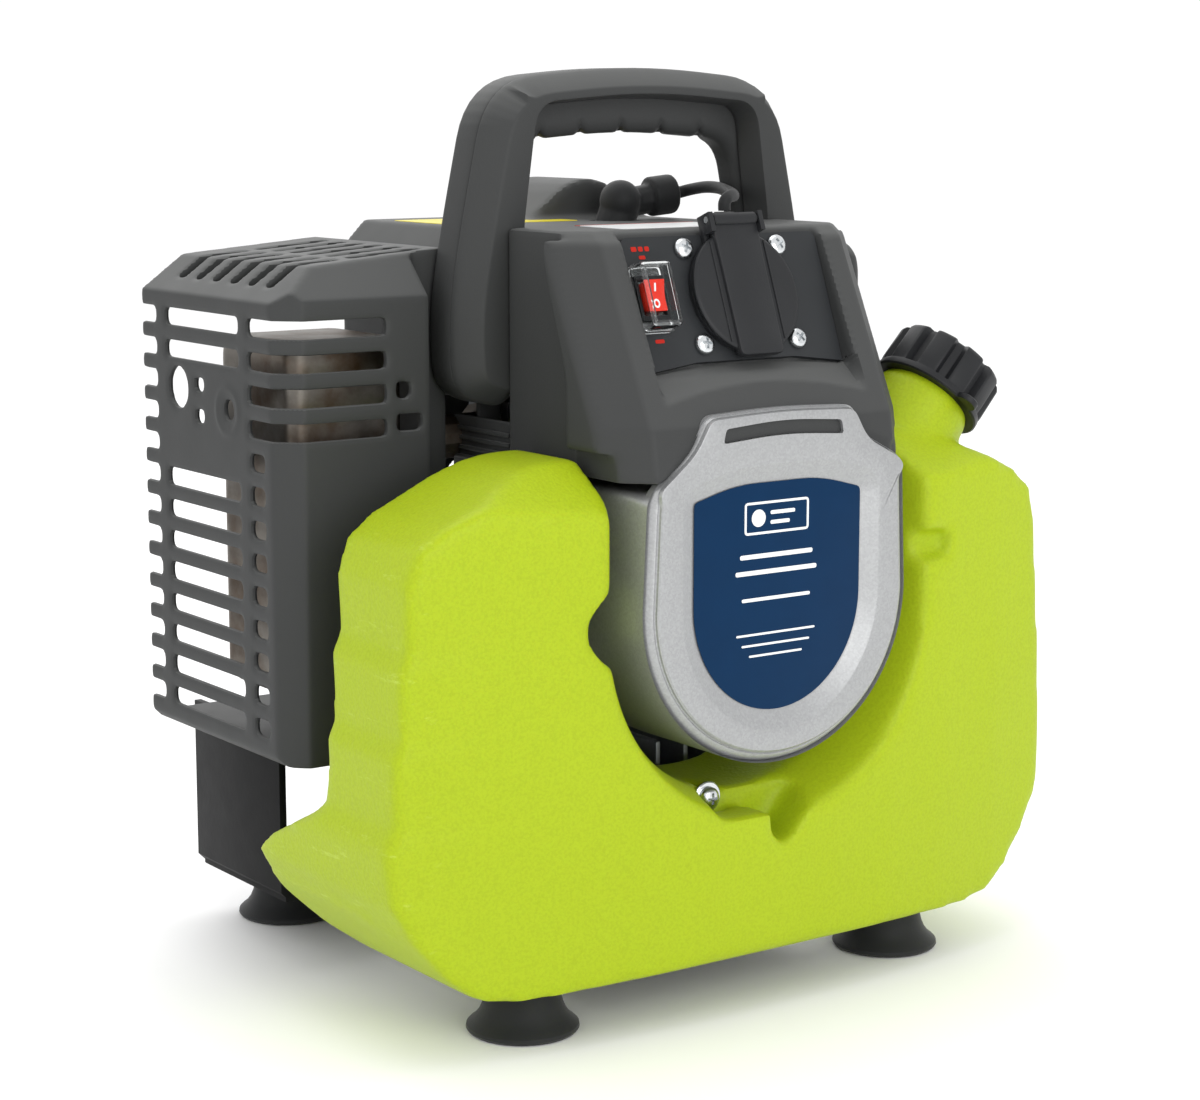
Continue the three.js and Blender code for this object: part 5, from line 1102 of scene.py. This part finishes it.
def on_panel(obj):
    """Moves a mesh from the panel's frame to its place."""
    return place_mesh(obj, PANEL)


def make_socket_lid(settings):
    """The sprung lid: a thin disc, a raised strap down its middle and the hinge roll at its top."""
    pin = PANEL.inverted() @ Vector(joint("lid_hinge")["pos_m"]) / MM
    back = pin.y + 2.6
    disc = extruded("disc", circle(23.6, (0, 0), 96), [
        (0.8, back), (0, back - 0.6), (0, back - 1.5), (0.5, back - 2.0), (1.4, back - 2.2)])
    strap_shape = outline([(-10, -24.6, 2.5), (10, -24.6, 2.5), (10.2, 12, 0), (10.6, pin.z - 1, 0.5),
                           (-10.6, pin.z - 1, 0.5), (-10.2, 12, 0)], 1.0)
    strap = extruded("strap", strap_shape, [
        (0, back - 0.6), (0, back - 2.7), (0.3, back - 3.2), (0.9, back - 3.45)])
    roll = turned("roll", [(0, -9.9), (2.1, -9.9), (2.5, -9.4), (2.5, 9.4), (2.1, 9.9), (0, 9.9)], 32)
    seat = Matrix.Translation(Vector((0, pin.y, pin.z)) * MM)
    place_mesh(roll, seat @ Matrix.Rotation(math.pi / 2, 4, "Y"))
    # A thin raised line either side of the strap stiffens the disc.
    lines = [block("line", (x - 0.35, back - 2.6, -19), (x + 0.35, back - 2.0, 19), 0.15)
             for x in (-12.4, 12.4)]
    lid = on_panel(joined("socket_lid_skin", disc, strap, roll, *lines))
    complete(lid, "black_plastic", body="lid", replaces=["socket_lid"])


def cross_headed_screw(name, head_mm, rise_mm):
    """A pan head with a cross recess, its axis along -Y and its seat at the origin."""
    r, h = head_mm, rise_mm
    dome = turned(name, [(0, 0), (r * 0.96, 0), (r, 0.25), (r * 0.97, h * 0.45), (r * 0.82, h * 0.74),
                         (r * 0.55, h * 0.93), (r * 0.25, h), (0, h)], 40)
    arms = [block("arm", (-r * 0.52, -r * 0.13, h * 0.35), (r * 0.52, r * 0.13, h + 1)),
            block("arm", (-r * 0.13, -r * 0.52, h * 0.35), (r * 0.13, r * 0.52, h + 1))]
    carve(dome, *arms)
    return place_mesh(dome, Matrix.Rotation(math.pi / 2, 4, "X"))


SCREW_SEAT = 1.15  # the heads' seats behind the middles of the screws
SCREW_TURN, SCREW_STEP = 25, 37  # degrees that the first cross is turned, and each next one more


def make_panel_screws(settings):
    """Four plated cross-headed screws round the socket, each turned differently."""
    shape = cross_headed_screw("panel_screw", 4.0, 2.5)
    shape.data.materials.append(finish_of("chrome_screws"))
    flip = PANEL.to_quaternion().to_matrix().to_4x4()
    places = []
    for i, node in enumerate(PANEL_SCREWS):
        seat = PANEL.inverted() @ middle(node)
        seat.y += SCREW_SEAT * MM
        turn = Matrix.Rotation(math.radians(SCREW_TURN + SCREW_STEP * i), 4, "Y")
        places.append(Matrix.Translation(PANEL @ seat) @ flip @ turn)
    screws = repeated("panel_screws", shape, places)
    complete(screws, "chrome_screws", replaces=PANEL_SCREWS)


def make_switch(settings):
    """The rocker with its marks, the bezel it sits in and the clear boot over both."""
    at = PANEL.inverted() @ middle("switch_body") / MM
    pivot = PANEL.inverted() @ Vector(joint("rocker_pivot")["pos_m"]) / MM
    y = pivot.y - 1.0
    half = 4.5
    side = outline([(y - 5.2, 5.8, 0.6), (y - 3.2, 0.2, 6), (y - 3.4, -5.8, 0.6), (y + 2.4, -4.6, 0.8),
                    (y + 4, 0, 2), (y + 2.4, 4.6, 0.8)], 0.4)
    rows = []
    turn = inward(side)
    for inset, x in ((0.5, -half), (0.15, -half + 0.15), (0, -half + 0.5), (0, half - 0.5),
                     (0.15, half - 0.15), (0.5, half)):
        flat = side + turn * inset * MM
        rows.append([((at.x + x) * MM, p[0], p[1] + at.z * MM) for p in flat])
    rocker = on_panel(loft("rocker_skin", rows))
    complete(rocker, "red_plastic", body="rocker", replaces=["switch_rocker"])
    shown = side[side[:, 0] < (y - 3.0) * MM] / MM
    shown = shown[np.argsort(shown[:, 1])]
    above = np.interp([1.6, 4.4], shown[:, 1], shown[:, 0])
    below = np.interp(-2.9, shown[:, 1], shown[:, 0])
    stroke = block("on_mark", (-0.35, -0.2, -1.5), (0.35, 0.2, 1.5))
    place_mesh(stroke, Matrix.Translation(Vector((at.x, above.mean(), at.z + 3.0)) * MM)
               @ Matrix.Rotation(math.atan2(above[0] - above[1], 2.8), 4, "X"))
    zero = circle(1.0, (0, 0), 40) * (1, 1.25) / MM
    off = band("off_mark", [
        [((at.x + r * u) * MM, (below + d) * MM, (at.z - 2.9 + r * v) * MM) for u, v in zero]
        for r, d in ((1.35, 0.3), (1.35, -0.22), (0.8, -0.22), (0.8, 0.3))])
    marks = on_panel(joined("rocker_marks", stroke, off))
    complete(marks, "white_label", body="rocker")
    bezel = bevelled(merged_copy("switch_bezel", "switch_body"), 0.35)
    complete(bezel, "black_plastic", replaces=["switch_body"])
    make_boot_cover(at)


def make_boot_cover(at):
    """The clear boot: a flange on the panel and a thin-walled box with rounded corners."""
    face = PANEL.inverted() @ middle("switch_cover") / MM
    half, tall = 7.6, 13.0
    shape = rectangle(at.x - half, face.z - tall, at.x + half, face.z + tall, 3, 0.7)
    top = face.y - 4.0
    base = face.y + 4.0
    cover = extruded("switch_boot", shape, [
        (1.5, base), (1.5, top + 1.6), (2.2, top + 0.9), (2.6, top + 0.9), (2.6, top), (1.6, top + 0.15),
        (0.9, top + 0.8), (0.7, top + 1.6), (0.6, base - 1.3), (0, base - 1.2), (0, base)])
    on_panel(cover)
    complete(cover, "clear_cover", replaces=["switch_cover"])


def make_panel_marks(settings):
    """Small plain red dashes printed above and below the switch."""
    at = PANEL.inverted() @ middle("switch_body") / MM
    face = (PANEL.inverted() @ middle("panel_screw_upper_left")).y / MM + PANEL_FACE
    dashes = []
    for dx, dz, half, tall in ((-2.6, 18.6, 1.2, 0.9), (0.4, 18.6, 1.0, 0.9), (3.2, 18.6, 1.0, 0.9),
                               (0.4, 15.4, 1.4, 0.7), (0.2, -16.2, 2.0, 0.7)):
        x, z = at.x + dx, at.z + dz
        shape = rectangle(x - half, z - tall, x + half, z + tall, 0.3, 0.5)
        dashes.append(extruded("dash", shape, [(0, face + PRINT_MM), (0, face - 0.15)]))
    marks = on_panel(joined("panel_print", *dashes))
    complete(marks, "red_print")


def make_panel(settings):
    """The panel plate, the socket behind the lid and the lid's hinge."""
    for node, finish in (("control_panel", "panel"), ("lid_hinge_pin", "steel")):
        paint_node(node, finish)
    socket = bevelled(merged_copy("socket_skin", "socket_body"), 0.3, 2, 40)
    complete(socket, "black_plastic", replaces=["socket_body"])


def make_top_labels(settings):
    """A white film with a red edge on the housing and a yellow film on the shroud, both plain."""
    top = high("control_housing").z / MM
    back = high("control_housing").y / MM
    white = rectangle(-36, back - 34, 19, back - 5, 2, 1.5)
    red = rectangle(-36, back - 4.8, 19, back - 2.2, 1, 1.5)
    shroud_top = (high("engine_shroud").z - 0.016) / MM
    yellow = outline([(-58, 14, 2), (3, 14, 2), (3, 29, 2), (-17, 31, 2), (-17, 56, 2), (-58, 56, 2)], 1.5)
    for name, shape, z, finish in (("housing_label", white, top, "white_label"),
                                   ("housing_label_edge", red, top, "red_print"),
                                   ("shroud_label", yellow, shroud_top, "yellow_label")):
        rings = [[(p[0], p[1], (z + dz) * MM) for p in shape] for dz in (-0.3, 0.18)]
        complete(loft(name, rings), finish)


# ---- Ignition lead, feet, engine ------------------------------------------------------------

LEAD_ROUTE = [
    (46.6, -0.1, 300.1), (49, -0.6, 300.5), (51.6, -4, 301.6), (52, -13, 302.8), (51.4, -22, 302.8),
    (49, -31, 301.8), (45, -40, 300.8), (39, -48, 300.6), (33, -54.5, 301), (28.5, -57.6, 300.2),
    (27, -58, 298.4), (27, -58, 295.6),
]


def make_ignition_lead(settings):
    """The spark plug's boot, the lead that arches to the housing, and its grommet."""
    shift = high("handle_front_shell").y / MM + 31.175
    route = [Vector((x, y + shift, z)) * MM for x, y, z in LEAD_ROUTE]
    lead = tube("ignition_lead_skin", route, 2.4, "rubber", 16, 8)
    complete(lead, "rubber", replaces=["ignition_lead"])
    boot = merged_copy("plug_boot_skin", "spark_plug_boot")
    a, b = low("spark_plug_boot"), high("spark_plug_boot")
    elbow = bmesh.new()
    bmesh.ops.create_uvsphere(elbow, u_segments=24, v_segments=16, radius=8.4 * MM)
    dome = add_object("elbow", elbow)
    crown = Vector((a.x + 16.0 * MM, (a.y + b.y) / 2, b.z - 8.4 * MM))
    place_mesh(dome, Matrix.Translation(crown))
    along = (route[0] - crown).normalized()
    collar = turned("collar", [(0, 13), (7.6, 13), (8.0, 13.6), (8.0, 23.2), (7.4, 23.9), (4.2, 24.2),
                               (0, 24.2)], 32)
    place_mesh(collar, Matrix.Translation(crown) @ along.to_track_quat("Z", "Y").to_matrix().to_4x4())
    boot = joined("plug_boot_skin", boot, dome, collar)
    soften(boot, 0.7, 4)
    complete(boot, "rubber", replaces=["spark_plug_boot"])
    at = middle("lead_grommet")
    top = high("lead_grommet").z / MM
    grommet = turned("lead_grommet_skin", [
        (0, top - 11), (3.8, top - 11), (3.8, top - 3.7), (6.2, top - 3.7), (6.6, top - 3.1), (6.2, top - 2.0),
        (4.6, top - 1.2), (3.9, top), (0, top)], 40)
    place_mesh(grommet, Matrix.Translation((at.x, at.y, 0)))
    complete(grommet, "rubber", replaces=["lead_grommet"])


def make_feet(settings):
    """Four rubber feet, each a bell with a rolled lip."""
    for end in ("front", "rear"):
        for side in ("left", "right"):
            node = f"foot_{end}_{side}"
            at = middle(node)
            foot = turned(f"{node}_skin", [
                (0, 0), (18.6, 0), (20.4, 0.5), (21.0, 1.4), (20.8, 2.6), (19.8, 3.6), (18.0, 5.0),
                (16.2, 7.4), (15.0, 10.2), (14.2, 13.6), (13.6, 16.4), (13.3, 20.8), (12.6, 21.9),
                (0, 21.9)], 64)
            place_mesh(foot, Matrix.Translation((at.x, at.y, 0)))
            complete(foot, "rubber", replaces=[node])


def make_base(settings):
    """The bent steel base, with its edges eased."""
    base = bevelled(merged_copy("base_frame_skin", "base_frame"), 0.7, 2, 30)
    complete(base, "black_steel", replaces=["base_frame"])


def make_tank_screw(settings):
    """The tank's screw in its pocket: a plated cross head on a black washer."""
    at = middle("tank_screw")
    screw = cross_headed_screw("tank_screw_skin", 4.2, 3.2)
    washer = turned("washer", [(0, 0), (5.8, 0), (6.0, 0.3), (6.0, 1.0), (5.6, 1.3), (0, 1.3)], 40)
    place_mesh(washer, Matrix.Rotation(math.pi / 2, 4, "X"))
    shift = Matrix.Translation((at.x, low("tank_screw").y + 0.0056, at.z))
    screw = joined("tank_screw_skin", place_mesh(screw, shift @ Matrix.Translation((0, -1.3 * MM, 0))),
                   place_mesh(washer, shift))
    complete(screw, "chrome_screws", replaces=["tank_screw"])


SOFTENED = {
    # node: (cell in millimetres, rounding rounds, finish)
    "silencer": (1.8, 6, "hot_steel"),
    "crankcase": (1.7, 3, "cast_alloy"),
    "inverter_module": (1.7, 2, "cast_alloy"),
    "recoil_housing": (1.3, 4, "black_plastic"),
    "air_cleaner_cover": (1.4, 8, "dark_plastic"),
    "air_cleaner_case": (1.4, 3, "black_plastic"),
    "carburettor": (1.0, 3, "brass"),
    "intake_manifold": (1.0, 3, "rubber"),
    "ignition_coil": (1.2, 3, "black_plastic"),
}


def make_castings(settings):
    """Cast and moulded pieces of the engine end, with rounded edges."""
    for node, (cell, rounds, finish) in SOFTENED.items():
        piece = soften(merged_copy(f"{node}_skin", node), cell, rounds)
        complete(piece, finish, replaces=[node])


def make_moving_engine(settings):
    """The starter grip, the rope and the choke lever."""
    grip = soften(merged_copy("pull_handle_skin", "pull_handle"), 0.9, 8)
    complete(grip, "black_plastic", body="pull", replaces=["pull_handle"])
    lever = soften(merged_copy("choke_lever_skin", "choke_lever"), 0.6, 4)
    complete(lever, "black_plastic", body="choke", replaces=["choke_lever"])
    a, b = low("pull_rope"), high("pull_rope")
    x, y = (a.x + b.x) / 2, (a.y + b.y) / 2
    radius = (b.x - a.x) / 2 / MM
    path = [Vector((x, y, z)) for z in np.linspace(a.z, b.z, 40)]
    rope = tube("pull_rope_skin", path, radius, "rope", 12, 2)
    complete(rope, "rope", body=None, replaces=["pull_rope"])
    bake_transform(rope)


KEPT_NODES = {
    "steel": ["piston_pin", "connecting_rod", "crank_pin", "crankshaft_front", "crankshaft_rear",
              "flywheel_rotor", "starter_cup", "recoil_spring"],
    "hot_steel": ["exhaust_pipe"],
    "cast_alloy": ["cylinder", "piston"],
    "copper": ["stator"],
    "black_plastic": ["cooling_fan", "recoil_pulley"],
    "foam": ["air_filter"],
    "ceramic": ["spark_plug"],
    "rubber": ["cap_liner", "fuel_hose"],
}


def paint_node(node, finish):
    """Gives a carried-over CAD node its material, and leaves its mesh alone."""
    for holder in frame["nodes"][node].material_slots:
        holder.link = "OBJECT"
        holder.material = finish_of(finish)


def paint_kept_nodes(settings):
    """Paints the inner pieces, which keep their CAD meshes."""
    for finish, nodes in KEPT_NODES.items():
        for node in nodes:
            paint_node(node, finish)


# ---- Stage ----------------------------------------------------------------------------------

CAMERA_PLACE = (-0.6181, -0.8773, 0.3394)
CAMERA_TURN = (80.475, 0.0, -35.306)
LENS_MM = 81.4
SENSOR_MM = 36.0


def make_stage(settings):
    """Pale floor, soft studio lights and the camera."""
    bm = bmesh.new()
    bmesh.ops.create_grid(bm, x_segments=4, y_segments=4, size=6)
    floor = add_object("studio_floor", bm)
    floor.data.materials.append(finish_of("floor"))
    world = bpy.data.worlds.new("studio_air")
    world.use_nodes = True
    background = world.node_tree.nodes["Background"]
    background.inputs["Color"].default_value = linear("#ffffff")
    background.inputs["Strength"].default_value = 1.04
    bpy.context.scene.world = world
    bpy.context.scene.view_settings.view_transform = "Standard"
    lamps = {
        "key_softbox": ((-0.35, -2.0, 0.75), (0, 0, 0.17), 1.3, 14),
        "left_softbox": ((-1.8, -0.2, 0.8), (0, 0, 0.18), 1.2, 1.5),
        "rear_softbox": ((0.3, 1.5, 1.3), (0, 0, 0.2), 1.4, 6),
        "top_softbox": ((-0.1, 0.3, 1.9), (0, 0, 0.2), 1.5, 8),
    }
    for name, (place, target, size, power) in lamps.items():
        data = bpy.data.lights.new(name, "AREA")
        data.size = size
        data.energy = power
        lamp = bpy.data.objects.new(name, data)
        bpy.context.scene.collection.objects.link(lamp)
        lamp.location = place
        lamp.rotation_euler = (Vector(target) - Vector(place)).to_track_quat("-Z", "Y").to_euler()
    view = bpy.data.cameras.new("product_view")
    view.lens = LENS_MM
    view.sensor_width = SENSOR_MM
    view.sensor_fit = "HORIZONTAL"
    view.clip_start = 0.01
    camera = bpy.data.objects.new("product_view", view)
    bpy.context.scene.collection.objects.link(camera)
    camera.location = CAMERA_PLACE
    camera.rotation_euler = [math.radians(v) for v in CAMERA_TURN]
    bpy.context.scene.camera = camera


# ---- Operators ------------------------------------------------------------------------------

class GENERATOR_OT_stage(bpy.types.Operator):
    """Adds the floor, the lights and the camera"""

    bl_idname = "generator.stage"
    bl_label = "Stage"

    def execute(self, context):
        make_stage(context.scene.generator)
        return {"FINISHED"}


class GENERATOR_OT_fuel_tank(bpy.types.Operator):
    """Makes the blow-moulded tank"""

    bl_idname = "generator.fuel_tank"
    bl_label = "Fuel tank"

    def execute(self, context):
        make_tank(context.scene.generator)
        return {"FINISHED"}


class GENERATOR_OT_filler_cap(bpy.types.Operator):
    """Makes the fluted screw cap"""

    bl_idname = "generator.filler_cap"
    bl_label = "Filler cap"

    def execute(self, context):
        make_filler_cap(context.scene.generator)
        return {"FINISHED"}


class GENERATOR_OT_fan_cover(bpy.types.Operator):
    """Makes the lacquered fan cover"""

    bl_idname = "generator.fan_cover"
    bl_label = "Fan cover"

    def execute(self, context):
        make_fan_cover(context.scene.generator)
        return {"FINISHED"}


class GENERATOR_OT_cover_trim(bpy.types.Operator):
    """Makes the slot insert, the label film and its print"""

    bl_idname = "generator.cover_trim"
    bl_label = "Cover trim"

    def execute(self, context):
        make_cover_trim(context.scene.generator)
        return {"FINISHED"}


class GENERATOR_OT_control_housing(bpy.types.Operator):
    """Makes the housing round the panel"""

    bl_idname = "generator.control_housing"
    bl_label = "Control housing"

    def execute(self, context):
        make_control_housing(context.scene.generator)
        return {"FINISHED"}


class GENERATOR_OT_engine_shroud(bpy.types.Operator):
    """Makes the shroud over the engine"""

    bl_idname = "generator.engine_shroud"
    bl_label = "Engine shroud"

    def execute(self, context):
        make_shroud(context.scene.generator)
        return {"FINISHED"}


class GENERATOR_OT_silencer_guard(bpy.types.Operator):
    """Makes the slotted guard"""

    bl_idname = "generator.silencer_guard"
    bl_label = "Silencer guard"

    def execute(self, context):
        make_guard(context.scene.generator)
        return {"FINISHED"}


class GENERATOR_OT_handle(bpy.types.Operator):
    """Makes the two handle shells"""

    bl_idname = "generator.handle"
    bl_label = "Handle"

    def execute(self, context):
        make_handle(context.scene.generator)
        return {"FINISHED"}


class GENERATOR_OT_panel(bpy.types.Operator):
    """Finishes the panel plate and the socket"""

    bl_idname = "generator.panel"
    bl_label = "Panel"

    def execute(self, context):
        make_panel(context.scene.generator)
        return {"FINISHED"}


class GENERATOR_OT_socket_lid(bpy.types.Operator):
    """Makes the sprung lid"""

    bl_idname = "generator.socket_lid"
    bl_label = "Socket lid"

    def execute(self, context):
        make_socket_lid(context.scene.generator)
        return {"FINISHED"}


class GENERATOR_OT_panel_screws(bpy.types.Operator):
    """Sets the four plated screws"""

    bl_idname = "generator.panel_screws"
    bl_label = "Panel screws"

    def execute(self, context):
        make_panel_screws(context.scene.generator)
        return {"FINISHED"}


class GENERATOR_OT_switch(bpy.types.Operator):
    """Makes the rocker, its bezel and its clear boot"""

    bl_idname = "generator.switch"
    bl_label = "Switch"

    def execute(self, context):
        make_switch(context.scene.generator)
        return {"FINISHED"}


class GENERATOR_OT_panel_marks(bpy.types.Operator):
    """Prints the plain red dashes"""

    bl_idname = "generator.panel_marks"
    bl_label = "Panel marks"

    def execute(self, context):
        make_panel_marks(context.scene.generator)
        return {"FINISHED"}


class GENERATOR_OT_top_labels(bpy.types.Operator):
    """Lays the white and yellow films"""

    bl_idname = "generator.top_labels"
    bl_label = "Top labels"

    def execute(self, context):
        make_top_labels(context.scene.generator)
        return {"FINISHED"}


class GENERATOR_OT_ignition_lead(bpy.types.Operator):
    """Makes the plug boot, the lead and its grommet"""

    bl_idname = "generator.ignition_lead"
    bl_label = "Ignition lead"

    def execute(self, context):
        make_ignition_lead(context.scene.generator)
        return {"FINISHED"}


class GENERATOR_OT_feet(bpy.types.Operator):
    """Makes the four rubber feet"""

    bl_idname = "generator.feet"
    bl_label = "Feet"

    def execute(self, context):
        make_feet(context.scene.generator)
        return {"FINISHED"}


class GENERATOR_OT_base(bpy.types.Operator):
    """Makes the steel base"""

    bl_idname = "generator.base"
    bl_label = "Base"

    def execute(self, context):
        make_base(context.scene.generator)
        return {"FINISHED"}


class GENERATOR_OT_tank_screw(bpy.types.Operator):
    """Makes the screw under the fan cover"""

    bl_idname = "generator.tank_screw"
    bl_label = "Tank screw"

    def execute(self, context):
        make_tank_screw(context.scene.generator)
        return {"FINISHED"}


class GENERATOR_OT_castings(bpy.types.Operator):
    """Makes the cast and moulded engine pieces"""

    bl_idname = "generator.castings"
    bl_label = "Castings"

    def execute(self, context):
        make_castings(context.scene.generator)
        return {"FINISHED"}


class GENERATOR_OT_moving_engine(bpy.types.Operator):
    """Makes the starter grip, its rope and the choke lever"""

    bl_idname = "generator.moving_engine"
    bl_label = "Starter and choke"

    def execute(self, context):
        make_moving_engine(context.scene.generator)
        return {"FINISHED"}


class GENERATOR_OT_kept_nodes(bpy.types.Operator):
    """Gives the inner pieces their materials"""

    bl_idname = "generator.kept_nodes"
    bl_label = "Inner pieces"

    def execute(self, context):
        paint_kept_nodes(context.scene.generator)
        return {"FINISHED"}


# The operators, in the order in which they run.
OPERATORS = [
    GENERATOR_OT_stage,
    GENERATOR_OT_fuel_tank,
    GENERATOR_OT_filler_cap,
    GENERATOR_OT_fan_cover,
    GENERATOR_OT_cover_trim,
    GENERATOR_OT_control_housing,
    GENERATOR_OT_engine_shroud,
    GENERATOR_OT_silencer_guard,
    GENERATOR_OT_handle,
    GENERATOR_OT_panel,
    GENERATOR_OT_socket_lid,
    GENERATOR_OT_panel_screws,
    GENERATOR_OT_switch,
    GENERATOR_OT_panel_marks,
    GENERATOR_OT_top_labels,
    GENERATOR_OT_ignition_lead,
    GENERATOR_OT_feet,
    GENERATOR_OT_base,
    GENERATOR_OT_tank_screw,
    GENERATOR_OT_castings,
    GENERATOR_OT_moving_engine,
    GENERATOR_OT_kept_nodes,
]


class GENERATOR_PT_panel(bpy.types.Panel):
    """Lists the generator's pieces and their settings."""

    bl_idname = "GENERATOR_PT_panel"
    bl_label = "Generator"
    bl_space_type = "VIEW_3D"
    bl_region_type = "UI"
    bl_category = "Generator"

    def draw(self, context):
        settings = context.scene.generator
        for name in settings.bl_rna.properties.keys():
            if name not in ("rna_type", "name"):
                self.layout.prop(settings, name)
        for operator in OPERATORS:
            self.layout.operator(operator.bl_idname)


CLASSES = [GENERATOR_PG_settings, *OPERATORS, GENERATOR_PT_panel]


def register():
    for cls in CLASSES:
        bpy.utils.register_class(cls)
    bpy.types.Scene.generator = bpy.props.PointerProperty(type=GENERATOR_PG_settings)


def unregister():
    del bpy.types.Scene.generator
    for cls in reversed(CLASSES):
        bpy.utils.unregister_class(cls)


def main():
    """Builds the whole object through its operators."""
    register()
    for operator in OPERATORS:
        getattr(bpy.ops.generator, operator.bl_idname.split(".")[1])()


if __name__ == "__main__":
    main()
